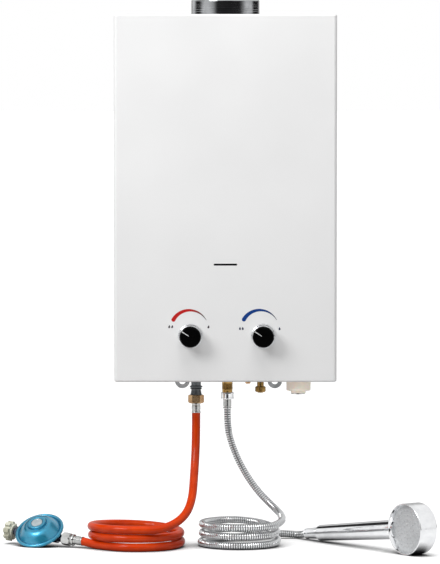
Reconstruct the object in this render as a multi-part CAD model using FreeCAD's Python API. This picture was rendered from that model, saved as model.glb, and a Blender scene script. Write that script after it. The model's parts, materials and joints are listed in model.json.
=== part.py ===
import FreeCAD, Part
import math
import os

# A wall-hung portable gas water heater with its hoses, regulator and hand shower.
# Millimetres. +X right, +Y towards the wall, +Z up. The origin is the centre of the
# hanging hole in the back plate, on the wall face of that plate.

os.makedirs("parts", exist_ok=True)
V = FreeCAD.Vector

# casing
case_width = 330.0
case_height = 545.0
case_depth = 140.0
hang_drop = 40.0        # hanging hole below the casing top
sheet = 1.0             # cover and chassis sheet
corner_radius = 5.0     # upright front corners of the cover
edge_radius = 3.0       # every other outer edge of the cover
lip_width = 12.0        # cover's return round the bottom opening
slip = 0.3              # loose clearance between still pieces
fit = 0.05              # brazed, pressed and turning fits

# chassis
hang_hole_r = 6.0
hang_slot_width = 6.0
hang_slot_rise = 13.0
ear_spacing = 140.0
ear_shift = 5.0
ear_drop = 9.7          # ear holes below the casing bottom
ear_r = 11.0
ear_hole_r = 5.0
flange_depth = 15.0
vent_length = 34.0
vent_width = 5.0
vent_pitch = 12.0
vent_count = 9
vent_upper_drop = 28.0      # two rows of vents in the back, below the burner
vent_lower_drop = 75.0
vent_panel_x = -112.0       # two rows of vents in the bottom
vent_panel_inset = 24.0
vent_panel_gap = 6.0

# flue
collar_outer_d = 101.5
collar_wall = 1.0
collar_height = 21.0    # above the casing top
collar_bead_r = 1.5
collar_step = 0.8       # wider foot of the collar, through the casing top
collar_step_height = 1.5
collar_flange = 7.0
collar_inset = 70.0     # collar axis in front of the wall
hood_width = 236.0
hood_depth = 112.0
hood_height = 65.0
hood_corner = 8.0

# heat exchanger
shell_width = 210.0
shell_depth = 90.0
shell_height = 206.0
shell_corner = 6.0
fin_count = 30
fin_thickness = 0.6
fin_height = 44.0
fin_drop = 22.0         # fins below the shell top
water_pipe_d = 12.0
water_pipe_wall = 1.0
water_pipe_bend = 18.0
pass_pitch = 22.0
wrap_drop = 162.0       # pipe loop below the shell top

# burner
burner_height = 64.0
bar_count = 10
bar_width = 9.0
bar_length = 74.0
bar_height = 52.0
manifold_size = 12.0
manifold_gap = 4.0      # between manifold and burner frame
jet_length = 8.0
jet_r = 3.0
feed_shift = 18.0       # gas feed beside the gas knob axis
electrode_r = 3.0
electrode_pin_r = 0.9
electrode_spacing = 40.0
lead_d = 3.0
controller_gap = 10.0   # controller to the casing side
controller_width = 50.0
controller_height = 80.0
controller_depth = 40.0
controller_rise = 25.0
thermostat_r = 8.0
thermostat_rise = 30.0  # above the pipe loop

# view slot
slot_length = 35.0
slot_width = 3.0
slot_drop = 370.5       # below the casing top

# controls
knob_rise = 68.5        # knob axes above the casing bottom
gas_knob_x = -52.0
water_knob_x = 56.0
knob_d = 32.0
knob_length = 24.0
knob_gap = 0.7          # knob to casing front
knob_skirt_d = 36.4
knob_skirt_height = 3.0
knob_wall = 3.0
knob_cap_d = 31.2
knob_cap_thickness = 1.6
knob_cap_proud = 0.6
pointer_angle = 147.0   # degrees from +X at rest
pointer_width = 1.6
spindle_r = 3.0
plug_r = 8.0
plug_length = 38.0
valve_inset = 80.0      # push rod in front of the wall
valve_width = 50.0
valve_depth = 52.0
valve_height = 50.0
cover_hole_r = 6.0
rod_r = 3.0
rod_stroke = 3.0
disc_r = 8.0
disc_thickness = 3.0
seat_r = 6.0            # gas port closed by the disc
seat_thickness = 1.5
after_seat_length = 5.5
gland_wall = 2.0
chamber_r = 11.0
spring_wire = 0.8
spring_turns = 3.5
gas_way_r = 2.5
gas_way_shift = 12.0    # gas ways in front of the push rod
plug_hole_r = 3.0
water_way_r = 4.0
water_way_drop = 16.0   # water ways below and above the knob axes
diaphragm_r = 26.0
diaphragm_thickness = 1.5
diaphragm_plate_r = 15.0
solenoid_r = 13.0
solenoid_length = 34.0
switch_length = 24.0
lever_thickness = 0.8

# connections under the casing
gas_inlet_x = -43.8
gas_inlet_r = 7.5
gas_bulge_r = 9.5
gas_inlet_reach = 23.8  # below the casing bottom
hot_outlet_x = 3.0
hot_outlet_inset = 50.0
hot_outlet_r = 8.3
hot_outlet_reach = 22.5
hot_outlet_rise = 40.0
cold_inlet_x = 109.0
cold_inlet_inset = 62.0
cold_inlet_r = 10.48    # half-inch pipe thread
cold_inlet_reach = 24.0
cold_neck_step = 0.6    # relief behind the thread
cold_lock_flats = 27.0  # lock nut under the panel
cold_lock_height = 5.0
fitting_bore_r = 5.0
cold_inlet_bore_r = 7.0
fitting_flange = 4.5
fitting_flange_thickness = 3.0
drain_x = 52.5
drain_stem_r = 5.1
drain_pin_r = 2.5
drain_cap_r = 7.9
drain_cap_height = 8.5
drain_reach = 11.1      # cap top below the casing bottom
screw_r = 2.0
screw_head_r = 3.9
screw_head_height = 2.8
front_screw_x = 33.4

# battery holder
battery_x = 109.0
battery_inset = 107.0
cell_r = 17.1
cell_length = 61.5
tube_bore_r = 17.5
tube_wall = 2.0
cap_r = 18.1
cap_height = 15.1
cap_grip_width = 21.5
cap_grip_height = 4.1
cap_plug_height = 8.0
cap_spring_height = 8.0
cap_spring_r = 8.0
cap_spring_wire = 1.2
cap_spring_turns = 3.5
lug_width = 7.0

# gas hose
gas_nut_flats = 20.6
gas_nut_length = 12.3
gas_ferrule_r = 6.55
gas_ferrule_length = 14.7
gas_hose_d = 12.5
gas_coil_x = -133.0
gas_coil_y = -116.0
gas_coil_r = 67.5
gas_coil_pitch = 13.0
gas_coil_rings = 3

# shower hose
shower_nut_d = 19.9
shower_nut_length = 10.2
shower_ferrule_r = 6.1
shower_ferrule_length = 14.0
shower_hose_d = 11.2
shower_coil_x = 21.0
shower_coil_y = -102.0
shower_coil_r = 56.0
shower_coil_pitch = 13.6
shower_coil_rings = 3

# regulator, lying tilted on the floor
floor_drop = 793.0      # floor below the casing top
regulator_x = -275.8
regulator_y = -100.0
regulator_heading = -28.0
regulator_dip = 4.0
regulator_roll = 35.0
regulator_r = 37.1
regulator_bead_r = 2.2
regulator_dome_height = 13.0
regulator_boss_r = 15.0
regulator_boss_height = 4.5
regulator_base_depth = 15.0
regulator_wall = 1.6
regulator_axis_drop = 9.0   # gas way below the rim plane
regulator_nut_flats = 17.5
regulator_nut_length = 19.0
regulator_neck = 39.0       # centre to the outlet nut
regulator_stub_r = 5.5
handwheel_r = 14.8
handwheel_width = 13.0
handwheel_thread_r = 10.0   # minor radius of the cylinder thread
handwheel_thread_length = 8.0
handwheel_relief = 0.8      # groove behind the thread
nipple_head = 2.0
handwheel_offset = 45.5
handwheel_ribs = 12
nipple_r = 7.0

# hand shower, lying on the floor
handset_x = 144.0
handset_y = -52.0
handset_heading = -51.2
handset_length = 211.0      # handle end to head centre
head_d = 76.0
head_depth = 33.0
head_facing = 217.5         # compass of the face normal, degrees from +X
head_wall = 2.0
handle_end_r = 12.0
handle_head_r = 14.2
handle_wall = 1.8
face_plate_r = 33.8
face_plate_thickness = 2.5
face_recess = 3.0       # plate behind the rim
nozzle_r = 0.9
nozzle_height = 1.2
nozzle_rings = 4
handset_nut_length = 32.0
handset_nut_small_r = 7.8
handset_nut_large_r = 9.2

case_top = hang_drop
case_bottom = case_top - case_height
case_front = -case_depth
floor = case_top - floor_drop
panel_top = case_bottom + 2 * sheet + slip
collar_r = collar_outer_d / 2
collar_foot_r = collar_r + collar_step
hood_top = case_top - 3 * sheet
shell_top = hood_top - hood_height
shell_bottom = shell_top - shell_height
burner_bottom = shell_bottom - burner_height
shell_front = -collar_inset - shell_depth / 2
shell_back = shell_front + shell_depth
knob_z = case_bottom + knob_rise
valve_y = -valve_inset
valve_front = valve_y - valve_depth / 2
valve_top = knob_z + valve_height / 2
valve_bottom = knob_z - valve_height / 2
gas_valve_right = gas_knob_x + valve_width / 2 + 3
gas_valve_left = gas_valve_right - valve_width - 8
water_valve_left = water_knob_x - valve_width / 2 + 3
water_valve_right = water_valve_left + valve_width
water_pipe_r = water_pipe_d / 2
pipe_z = shell_top - fin_drop - fin_height / 2
wrap_z = shell_top - wrap_drop
manifold_z = burner_bottom + manifold_size / 2 + 9
manifold_back = shell_front - manifold_gap
manifold_y = manifold_back - manifold_size / 2
feed_x = gas_knob_x - feed_shift
feed_y = valve_y - 4
seat_x = gas_valve_right - gland_wall - after_seat_length - seat_thickness
disc_right = seat_x - fit
chamber_left = disc_right - disc_thickness - rod_stroke - spring_wire * (spring_turns + 1) - slip
gas_way_y = valve_y - gas_way_shift
water_outlet_x = water_valve_right - 15
water_outlet_y = valve_y + 10
water_way_y = valve_y - 3
inlet_arm_z = knob_z - 4


def save(name, shape):
    shape = shape.removeSplitter()
    shape.exportStep("parts/" + name + ".step")


def group(name, shapes):
    Part.makeCompound(shapes).exportStep("parts/" + name + ".step")


def block(x0, x1, y0, y1, z0, z1):
    return Part.makeBox(x1 - x0, y1 - y0, z1 - z0, V(x0, y0, z0))


def rounded_box(half, y0, y1, z0, z1, radius):
    box = block(-half, half, y0, y1, z0, z1)
    return box.makeFillet(radius, [e for e in box.Edges if e.BoundBox.ZLength > (z1 - z0) / 2])


def rod(radius, start, end):
    along = end - start
    return Part.makeCylinder(radius, along.Length, start, along)


def sleeve(outer, inner, start, end):
    return rod(outer, start, end).cut(rod(inner, start, end))


def upright(radius, x, y, z0, z1):
    return rod(radius, V(x, y, z0), V(x, y, z1))


def across(radius, x, z, y0, y1):
    return rod(radius, V(x, y0, z), V(x, y1, z))


def sideways(radius, y, z, x0, x1):
    return rod(radius, V(x0, y, z), V(x1, y, z))


def hexagon(flats, start, end):
    along = end - start
    side = V(along.z, along.x, along.y).cross(along)
    side.normalize()
    side.multiply(flats / math.sqrt(3))
    corners = []
    for turn in range(7):
        spin = FreeCAD.Rotation(along, 60 * turn)
        corners.append(start + spin.multVec(side))
    return Part.Face(Part.makePolygon(corners)).extrude(along)


def joined(shapes):
    return shapes[0].multiFuse(shapes[1:])


def route_edges(points, radius=None):
    # straight runs joined by tangent arcs; with no radius, each arc takes 0.45 of its shorter run
    edges = []
    here = points[0]
    radii = []
    for before, corner, after in zip(points, points[1:], points[2:]):
        back = before - corner
        ahead = after - corner
        half_turn = (math.pi - back.getAngle(ahead)) / 2
        bend = radius
        if bend is None:
            bend = 0.45 * min(back.Length, ahead.Length) / math.tan(half_turn)
        reach = bend * math.tan(half_turn)
        radii.append(round(bend, 1))
        back.normalize()
        ahead.normalize()
        inward = back + ahead
        inward.normalize()
        start = corner + back * reach
        end = corner + ahead * reach
        middle = corner + inward * (bend / math.cos(half_turn) - bend)
        if (start - here).Length > 0.001:
            edges.append(Part.LineSegment(here, start).toShape())
        edges.append(Part.Arc(start, middle, end).toShape())
        here = end
    edges.append(Part.LineSegment(here, points[-1]).toShape())
    return edges, radii


def tube(points, diameter, radius=None):
    edges, radii = route_edges(points, radius)
    path = Part.Wire(edges)
    ring = Part.Wire([Part.makeCircle(diameter / 2, points[0], points[1] - points[0])])
    solid = path.makePipeShell([ring], True, False)
    return solid, path.Length, radii


def hose_tube(name, points, diameter):
    solid, length, radii = tube(points, diameter)
    section = math.pi * diameter ** 2 / 4
    print(name, "length", round(length, 1), "volume ratio", round(solid.Volume / section / length, 4),
          "radii", radii)
    return solid


def hollow_pipe(points, diameter, wall, radius):
    outer = tube(points, diameter, radius)[0]
    inner = tube(points, diameter - 2 * wall, radius)[0]
    return outer.cut(inner)


def case_solid(inset):
    # the casing's outer form, or the same form set inwards
    half = case_width / 2 - inset
    body = block(-half, half, case_front + inset, sheet, case_bottom + inset, case_top - inset)
    corners = [e for e in body.Edges if e.BoundBox.YLength < 0.1 and e.BoundBox.XLength < 0.1
               and e.BoundBox.YMax < 0]
    body = body.makeFillet(corner_radius - inset, corners)
    rims = []
    for e in body.Edges:
        box = e.BoundBox
        if box.ZLength < 0.1 and box.YMin < sheet - 0.1:
            rims.append(e)
    body = body.makeFillet(edge_radius - inset, rims)
    return body.common(block(-half - 1, half + 1, case_front - 1, 0, case_bottom, case_top))


def ear_points():
    for side in (-1, 1):
        yield ear_shift + side * ear_spacing / 2


def side_screw_points():
    for side in (-1, 1):
        for z in (case_top - 80, case_bottom + 35):
            yield side, -flange_depth / 2 - sheet / 2, z


def front_screw_y():
    return case_front + lip_width / 2


def front_cover():
    shell = case_solid(0).cut(case_solid(sheet).fuse(
        block(-case_width / 2 + edge_radius, case_width / 2 - edge_radius, -edge_radius, 1,
              case_bottom + edge_radius, case_top - edge_radius)))
    hole = case_width / 2 - lip_width
    shell = shell.cut(block(-hole, hole, case_front + lip_width, 1, case_bottom - 1, case_bottom + 2 * sheet))
    gap = collar_foot_r + sheet
    shell = shell.cut(block(-gap, gap, -collar_inset, 1, case_top - 2 * sheet, case_top + 1))
    shell = shell.cut(upright(gap, 0, -collar_inset, case_top - 2 * sheet, case_top + 1))
    slot_z = case_top - slot_drop
    half = (slot_length - slot_width) / 2
    slot = block(-half, half, case_front - 1, case_front + 2 * sheet, slot_z - slot_width / 2,
                 slot_z + slot_width / 2)
    for x in (-half, half):
        slot = slot.fuse(across(slot_width / 2, x, slot_z, case_front - 1, case_front + 2 * sheet))
    shell = shell.cut(slot)
    for x in (gas_knob_x, water_knob_x):
        shell = shell.cut(across(cover_hole_r, x, knob_z, case_front - 1, case_front + 2 * sheet))
    for side, y, z in side_screw_points():
        x = side * case_width / 2
        shell = shell.cut(sideways(screw_r + fit, y, z, x - side * 3 * sheet, x + side))
    shell = shell.cut(upright(screw_r + fit, front_screw_x, front_screw_y(), case_bottom - 1,
                              case_bottom + 3 * sheet))
    save("front_cover", shell)


def bottom_holes():
    yield gas_inlet_x, valve_y, gas_inlet_r
    yield hot_outlet_x, -hot_outlet_inset, hot_outlet_r
    yield cold_inlet_x, -cold_inlet_inset, cold_inlet_r
    yield drain_x, valve_y, drain_stem_r
    yield battery_x, -battery_inset, tube_bore_r + tube_wall


def back_plate():
    room = case_solid(sheet + slip)
    half = case_width / 2 - sheet - slip
    plate = block(-half, half, -sheet, 0, case_bottom, case_top)
    top = block(-half, half, case_front, 0, case_top - 2 * sheet - slip, case_top - sheet - slip)
    top = top.cut(upright(collar_foot_r + fit, 0, -collar_inset, case_top - 9, case_top))
    bottom = block(-half, half, case_front, 0, case_bottom + sheet + slip, panel_top)
    flanges = []
    for side in (-1, 1):
        inner = side * (half - sheet)
        low, high = sorted((inner, side * half))
        flanges.append(block(low, high, -flange_depth, 0, case_bottom + edge_radius, case_top - edge_radius))
    plate = joined([plate, top, bottom] + flanges).common(room)
    for x, y, radius in bottom_holes():
        plate = plate.cut(upright(radius + fit, x, y, case_bottom, panel_top + 1))
    plate = plate.cut(upright(screw_r + fit, front_screw_x, front_screw_y(), case_bottom, panel_top + 1))
    for side, y, z in side_screw_points():
        plate = plate.cut(sideways(screw_r + fit, y, z, side * (half - 5), side * (half + 1)))
    for x in ear_points():
        low = case_bottom - ear_drop
        ear = block(x - ear_r, x + ear_r, -sheet, 0, low, case_bottom + 2 * sheet)
        ear = ear.fuse(across(ear_r, x, low, -sheet, 0)).cut(across(ear_hole_r, x, low, -2 * sheet, 1))
        plate = plate.fuse(ear)
    plate = plate.cut(across(hang_hole_r, 0, 0, -2 * sheet, 1))
    slot_half = hang_slot_width / 2
    plate = plate.cut(block(-slot_half, slot_half, -2 * sheet, 1, 0, hang_slot_rise))
    plate = plate.cut(across(slot_half, 0, hang_slot_rise, -2 * sheet, 1))
    plate = plate.cut(joined(vents()))
    save("back_plate", plate)


def vents():
    cuts = []
    for k in range(vent_count):
        x = (k - (vent_count - 1) / 2) * vent_pitch
        for z in (burner_bottom - vent_lower_drop, burner_bottom - vent_upper_drop):
            cuts.append(block(x - vent_width / 2, x + vent_width / 2, -2 * sheet, 1, z - vent_length / 2,
                              z + vent_length / 2))
    for k in range(vent_count):
        for side in (-1, 1):
            x = vent_panel_x + side * (vent_length + vent_panel_gap) / 2
            y = -vent_panel_inset - (k + 0.5) * vent_pitch
            if y - vent_width / 2 > case_front + lip_width:
                cuts.append(block(x - vent_length / 2, x + vent_length / 2, y - vent_width / 2,
                                  y + vent_width / 2, case_bottom, panel_top + 1))
    return cuts


def casing_screws():
    screws = []
    for side, y, z in side_screw_points():
        x = side * case_width / 2
        shank = sideways(screw_r, y, z, x, x - side * 9)
        head = sideways(screw_head_r, y, z, x, x + side * screw_head_height)
        head = head.makeFillet(screw_head_height * 0.4, [
            e for e in head.Edges if abs(e.BoundBox.XMin - x - side * screw_head_height) < 0.01])
        screws.append(shank.fuse(head))
    y = front_screw_y()
    shank = upright(screw_r, front_screw_x, y, case_bottom, case_bottom + 9)
    head = upright(screw_head_r, front_screw_x, y, case_bottom - screw_head_height, case_bottom)
    screws.append(shank.fuse(head))
    group("casing_screws", screws)


def flue_collar():
    base = case_top - 3 * sheet - slip
    top = case_top + collar_height
    tube_top = top - collar_bead_r
    inner = collar_r - collar_wall
    collar = sleeve(collar_r, inner, V(0, -collar_inset, base), V(0, -collar_inset, tube_top))
    ring_r = collar_r - collar_bead_r
    bead = Part.makeTorus(ring_r, collar_bead_r, V(0, -collar_inset, tube_top))
    flange = sleeve(collar_r + collar_flange, inner, V(0, -collar_inset, base),
                    V(0, -collar_inset, base + sheet))
    foot = sleeve(collar_foot_r, inner, V(0, -collar_inset, base),
                  V(0, -collar_inset, case_top + collar_step_height))
    save("flue_collar", joined([collar, bead, flange, foot]))


def draft_hood():
    top = case_top - 3 * sheet - slip
    front = -collar_inset - hood_depth / 2
    back = -collar_inset + hood_depth / 2
    hood = rounded_box(hood_width / 2, front, back, shell_top + sheet, top, hood_corner)
    hood = hood.cut(rounded_box(hood_width / 2 - sheet, front + sheet, back - sheet, shell_top, top - sheet,
                                hood_corner - sheet))
    hood = hood.cut(upright(collar_r - collar_wall, 0, -collar_inset, top - 9, top + 1))
    save("draft_hood", hood)


def pass_points():
    for k in range(4):
        yield -collar_inset + (1.5 - k) * pass_pitch


def exchanger_points():
    # up, once round the chamber, then four passes through the fins and down again
    gap = water_pipe_r + slip + 0.2
    left = -shell_width / 2 - gap
    front = shell_front - gap
    back = shell_back + gap
    turn_x = shell_width / 2 + 16
    rows = list(pass_points())
    low = shell_bottom - 15
    riser_x = shell_width / 2 + 15
    points = [V(turn_x + 14, back, low), V(turn_x + 14, back, wrap_z), V(left, back, wrap_z)]
    points += [V(left, front, wrap_z), V(riser_x, front, wrap_z), V(riser_x, rows[0], wrap_z)]
    points += [V(riser_x, rows[0], pipe_z), V(-turn_x, rows[0], pipe_z), V(-turn_x, rows[1], pipe_z)]
    points += [V(turn_x, rows[1], pipe_z), V(turn_x, rows[2], pipe_z), V(-turn_x, rows[2], pipe_z)]
    points += [V(-turn_x, rows[3], pipe_z), V(turn_x + 12, rows[3], pipe_z), V(turn_x + 12, rows[3], low)]
    return points


def heat_exchanger():
    half = shell_width / 2
    shell = rounded_box(half, shell_front, shell_back, shell_bottom, shell_top, shell_corner)
    rim = rounded_box(hood_width / 2, -collar_inset - hood_depth / 2, -collar_inset + hood_depth / 2,
                      shell_top, shell_top + sheet, hood_corner)
    shell = shell.fuse(rim)
    shell = shell.cut(rounded_box(half - sheet, shell_front + sheet, shell_back - sheet, shell_bottom - 1,
                                  shell_top + 2, shell_corner - sheet))
    for x in (-shell_width / 3, shell_width / 3):
        shell = shell.fuse(block(x - 8, x + 8, shell_back, -sheet, pipe_z - 50, pipe_z - 48))
    for y in pass_points():
        shell = shell.cut(sideways(water_pipe_r + fit, y, pipe_z, -half - 1, half + 1))
    for x, z in electrode_points():
        shell = shell.cut(across(electrode_r + fit, x, z, shell_front - 1, shell_front + 2 * sheet))
    save("heat_exchanger_shell", shell)
    fins = []
    step = (shell_width - 2 * sheet - 12) / (fin_count - 1)
    for k in range(fin_count):
        x = -half + sheet + 6 + k * step
        fin = block(x - fin_thickness / 2, x + fin_thickness / 2, shell_front + sheet + slip,
                    shell_back - sheet - slip, pipe_z - fin_height / 2, pipe_z + fin_height / 2)
        for y in pass_points():
            fin = fin.cut(sideways(water_pipe_r + fit, y, pipe_z, x - 2, x + 2))
        fins.append(fin)
    group("heat_exchanger_fins", fins)
    pipe = hollow_pipe(exchanger_points(), water_pipe_d, water_pipe_wall, pass_pitch / 2)
    save("heat_exchanger_pipe", pipe)


def bar_points():
    pitch = (shell_width - 2 * sheet - 18) / bar_count
    for k in range(bar_count):
        yield (k - (bar_count - 1) / 2) * pitch


def burner():
    half = shell_width / 2
    frame = rounded_box(half, shell_front, shell_back, burner_bottom, shell_bottom, shell_corner)
    frame = frame.cut(rounded_box(half - sheet, shell_front + sheet, shell_back - sheet,
                                  burner_bottom + sheet, shell_bottom + 1, shell_corner - sheet))
    for x in bar_points():
        frame = frame.cut(across(jet_r + 3, x, manifold_z, shell_front - 1, shell_front + 2 * sheet))
    air = block(-half + 20, half - 20, shell_back - 30, shell_back - 20, burner_bottom - 1, burner_bottom + 2)
    frame = frame.cut(air)
    for x in (-shell_width / 3, shell_width / 3):
        frame = frame.fuse(block(x - 8, x + 8, shell_back, -sheet, burner_bottom + 10, burner_bottom + 12))
    save("burner_frame", frame)
    bars = []
    floor_z = burner_bottom + sheet
    bar_front = -collar_inset - bar_length / 2
    for x in bar_points():
        bar = block(x - bar_width / 2, x + bar_width / 2, bar_front, bar_front + bar_length, floor_z,
                    floor_z + bar_height)
        bar = bar.makeFillet(2, [e for e in bar.Edges if e.BoundBox.ZLength > 9])
        bar = bar.cut(across(bar_width / 2 - 1, x, manifold_z, bar_front - 1, bar_front + bar_length * 0.6))
        ports = []
        for k in range(12):
            y = bar_front + 6 + k * (bar_length - 12) / 11
            top = floor_z + bar_height
            ports.append(block(x - 3, x + 3, y - 0.8, y + 0.8, top - 6, top + 1))
        bars.append(bar.cut(joined(ports)))
    group("burner_bars", bars)


def manifold():
    half = shell_width / 2 - 6
    z = manifold_z
    side = manifold_size / 2
    bar = block(-half, half, manifold_y - side, manifold_back, z - side, z + side)
    drop = z - valve_top
    feed_points = [V(feed_x, manifold_y, z), V(feed_x, manifold_y, z - drop * 0.38),
                   V(feed_x, feed_y, z - drop * 0.69), V(feed_x, feed_y, valve_top)]
    feed = tube(feed_points, manifold_size, drop * 0.19)[0]
    feed_bore = tube(feed_points, manifold_size - 5, drop * 0.19)[0]
    parts = [bar, feed]
    for x in (-half + 4, half - 4):
        parts.append(block(x - 4, x + 4, manifold_back, shell_front, z - side, z + side))
    whole = joined(parts)
    whole = whole.cut(sideways(side - 2, manifold_y, z, -half + 3, half - 3)).cut(feed_bore)
    for x in bar_points():
        whole = whole.cut(across(1.5, x, z, manifold_y, manifold_back + 1))
    save("gas_manifold", whole)
    jets = []
    for x in bar_points():
        hexed = hexagon(2 * jet_r, V(x, manifold_back, z), V(x, manifold_back + jet_length / 2, z))
        nose = across(jet_r - 1, x, z, manifold_back + jet_length / 2, manifold_back + jet_length)
        hole = across(0.6, x, z, manifold_back - 1, manifold_back + jet_length + 1)
        jets.append(hexed.fuse(nose).cut(hole))
    group("gas_jets", jets)


def electrode_points():
    yield -electrode_spacing / 2, shell_bottom + 12
    yield electrode_spacing / 2, shell_bottom + 24


def ignition():
    parts = []
    for x, z in electrode_points():
        ceramic = across(electrode_r, x, z, shell_front - 12, shell_front + 6)
        pin = across(electrode_pin_r, x, z, shell_front + 6, shell_front + 26)
        plate = block(x - 8, x + 8, shell_front - 1.5, shell_front, z - 5, z + 5)
        parts.append(joined([ceramic, pin, plate]))
    group("ignition_electrodes", parts)
    box_bottom = case_bottom + controller_rise
    top = box_bottom + controller_height
    left = -case_width / 2 + controller_gap
    box = block(left, left + controller_width, -sheet - controller_depth, -sheet, box_bottom, top)
    box = box.makeFillet(2, [e for e in box.Edges if e.BoundBox.YLength > 9])
    save("ignition_controller", box)
    leads = []
    for (x, z), y_end in zip(electrode_points(), (-18, -30)):
        lane = shell_front - 17
        side = -shell_width / 2 - 20
        points = [V(x, shell_front - 12, z), V(x, lane, z), V(x - 22, lane, z), V(side, lane, z - 8)]
        points += [V(side, lane + 30, z - 38), V(side, y_end - 10, z - 72), V(side, y_end, top + 22)]
        points += [V(side, y_end, top)]
        leads.append(tube(points, lead_d)[0])
    group("ignition_leads", leads)


def spring(wire, radius, length, turns):
    # a coil along +X from the origin, with its ends inside the stated length
    pitch = (length - wire) / turns
    helix = Part.makeHelix(pitch, length - wire, radius)
    ring = Part.Wire([Part.makeCircle(wire / 2, V(radius, 0, 0), V(0, 1, 0))])
    coil = Part.Wire(helix).makePipeShell([ring], True, True)
    coil.translate(V(0, 0, wire / 2))
    return coil


def gas_ways():
    # inlet, chamber, seat, chamber after the seat, under the plug, over the plug, outlet
    low = knob_z - gas_way_shift - gas_way_r
    high = knob_z + gas_way_shift + gas_way_r
    after_x = seat_x + seat_thickness + after_seat_length / 2
    after_r = disc_r + 1
    ways = [upright(fitting_bore_r - 1, gas_inlet_x, valve_y, valve_bottom - 1, knob_z - chamber_r + 1)]
    ways.append(sideways(chamber_r, valve_y, knob_z, chamber_left, seat_x))
    ways.append(sideways(seat_r, valve_y, knob_z, seat_x - 1, seat_x + seat_thickness + 1))
    ways.append(sideways(after_r, valve_y, knob_z, seat_x + seat_thickness, gas_valve_right - gland_wall))
    ways.append(across(gas_way_r, after_x, knob_z - rod_r, gas_way_y, valve_y))
    ways.append(upright(gas_way_r, after_x, gas_way_y, low, knob_z - rod_r))
    ways.append(sideways(gas_way_r, gas_way_y, low, gas_knob_x, after_x))
    ways.append(upright(plug_hole_r, gas_knob_x, gas_way_y, low, high))
    ways.append(sideways(gas_way_r, gas_way_y, high, feed_x, gas_knob_x))
    ways.append(across(gas_way_r, feed_x, high, gas_way_y, feed_y))
    ways.append(upright(manifold_size / 2 - 2.5, feed_x, feed_y, high, valve_top + 1))
    return joined(ways)


def gas_valve():
    body = block(gas_valve_left, gas_valve_right, valve_front, valve_front + valve_depth,
                 valve_bottom, valve_top)
    body = body.makeFillet(3, [e for e in body.Edges if e.BoundBox.YLength > 9])
    neck = across(12, gas_knob_x, knob_z, valve_front - 6, valve_front)
    body = body.fuse(neck)
    body = body.cut(across(plug_r + fit, gas_knob_x, knob_z, valve_front + 2, valve_front + 2 + plug_length))
    body = body.cut(across(spindle_r + fit, gas_knob_x, knob_z, valve_front - 7, valve_front + 3))
    body = body.cut(sideways(rod_r + fit, valve_y, knob_z, seat_x, gas_valve_right + 1))
    save("gas_valve_body", body.cut(gas_ways()))
    room = disc_right - disc_thickness - chamber_left
    coil = spring(spring_wire, disc_r - 2, room - 2 * fit, spring_turns)
    coil.rotate(V(0, 0, 0), V(0, 1, 0), 90)
    coil.translate(V(chamber_left + fit, valve_y, knob_z))
    save("gas_valve_spring", coil)
    coil_end = gas_valve_left - solenoid_length
    can = sideways(solenoid_r, valve_y, knob_z, gas_valve_left, coil_end)
    yoke = block(coil_end + 3, coil_end + 5, valve_y - solenoid_r - 2, valve_y + solenoid_r + 2,
                 knob_z - solenoid_r - 2, knob_z + solenoid_r + 2)
    save("solenoid_valve", can.fuse(yoke))
    switch_y = valve_front + 5.5
    box = block(gas_valve_right, gas_valve_right + switch_length, valve_front - 8, switch_y,
                knob_z - 10, knob_z + 10)
    pivot_x = lever_x()
    for z in (knob_z - 6, knob_z + 6):
        box = box.fuse(block(pivot_x - 3, pivot_x + 3, switch_y, switch_y + 5, z - 0.8, z + 0.8))
    pin_y = switch_y + 2.5
    box = box.fuse(upright(1, pivot_x, pin_y, knob_z - 6, knob_z + 6))
    save("microswitch", box)
    lever = upright(2, pivot_x, pin_y, knob_z - 4.8, knob_z + 4.8)
    arm = block(pivot_x - lever_thickness / 2, pivot_x + lever_thickness / 2, pin_y, valve_y - rod_r - 1,
                knob_z - 3, knob_z + 3)
    lever = lever.fuse(arm).cut(upright(1 + fit, pivot_x, pin_y, knob_z - 5, knob_z + 5))
    save("microswitch_lever", lever)


def lever_x():
    return gas_valve_right + 16.5


def push_rod():
    collar_left = lever_x() + lever_thickness / 2 + 0.2
    right = water_valve_left - 10 - diaphragm_thickness
    parts = [sideways(rod_r, valve_y, knob_z, disc_right - disc_thickness, right - 1)]
    parts.append(sideways(disc_r, valve_y, knob_z, disc_right - disc_thickness, disc_right))
    parts.append(sideways(6, valve_y, knob_z, collar_left, collar_left + 3))
    parts.append(sideways(diaphragm_plate_r, valve_y, knob_z, right - 2, right))
    save("push_rod", joined(parts))


def water_ways():
    # from the inlet arm under the plug, and from above the plug to the outlet and the diaphragm
    radius = water_way_r
    low = knob_z - water_way_drop
    high = knob_z + water_way_drop
    arm_end = water_valve_right - 12
    back = -cold_inlet_inset
    ways = [sideways(radius, back, inlet_arm_z, arm_end, water_valve_right + 1)]
    ways.append(upright(radius, arm_end, back, low, inlet_arm_z))
    ways.append(sideways(radius, back, low, water_knob_x, arm_end))
    ways.append(across(radius, water_knob_x, low, water_way_y, back))
    ways.append(upright(plug_hole_r, water_knob_x, water_way_y, low, high))
    ways.append(sideways(plug_hole_r, water_way_y, high, water_knob_x, water_outlet_x))
    ways.append(across(plug_hole_r, water_outlet_x, high, water_way_y, water_outlet_y))
    ways.append(upright(fitting_bore_r, water_outlet_x, water_outlet_y, high, valve_top + 7))
    ways.append(sideways(1, water_way_y, high, water_valve_left - 8, water_knob_x))
    ways.append(upright(1.5, drain_x, valve_y, valve_bottom - 3, low))
    return joined(ways)


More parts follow.
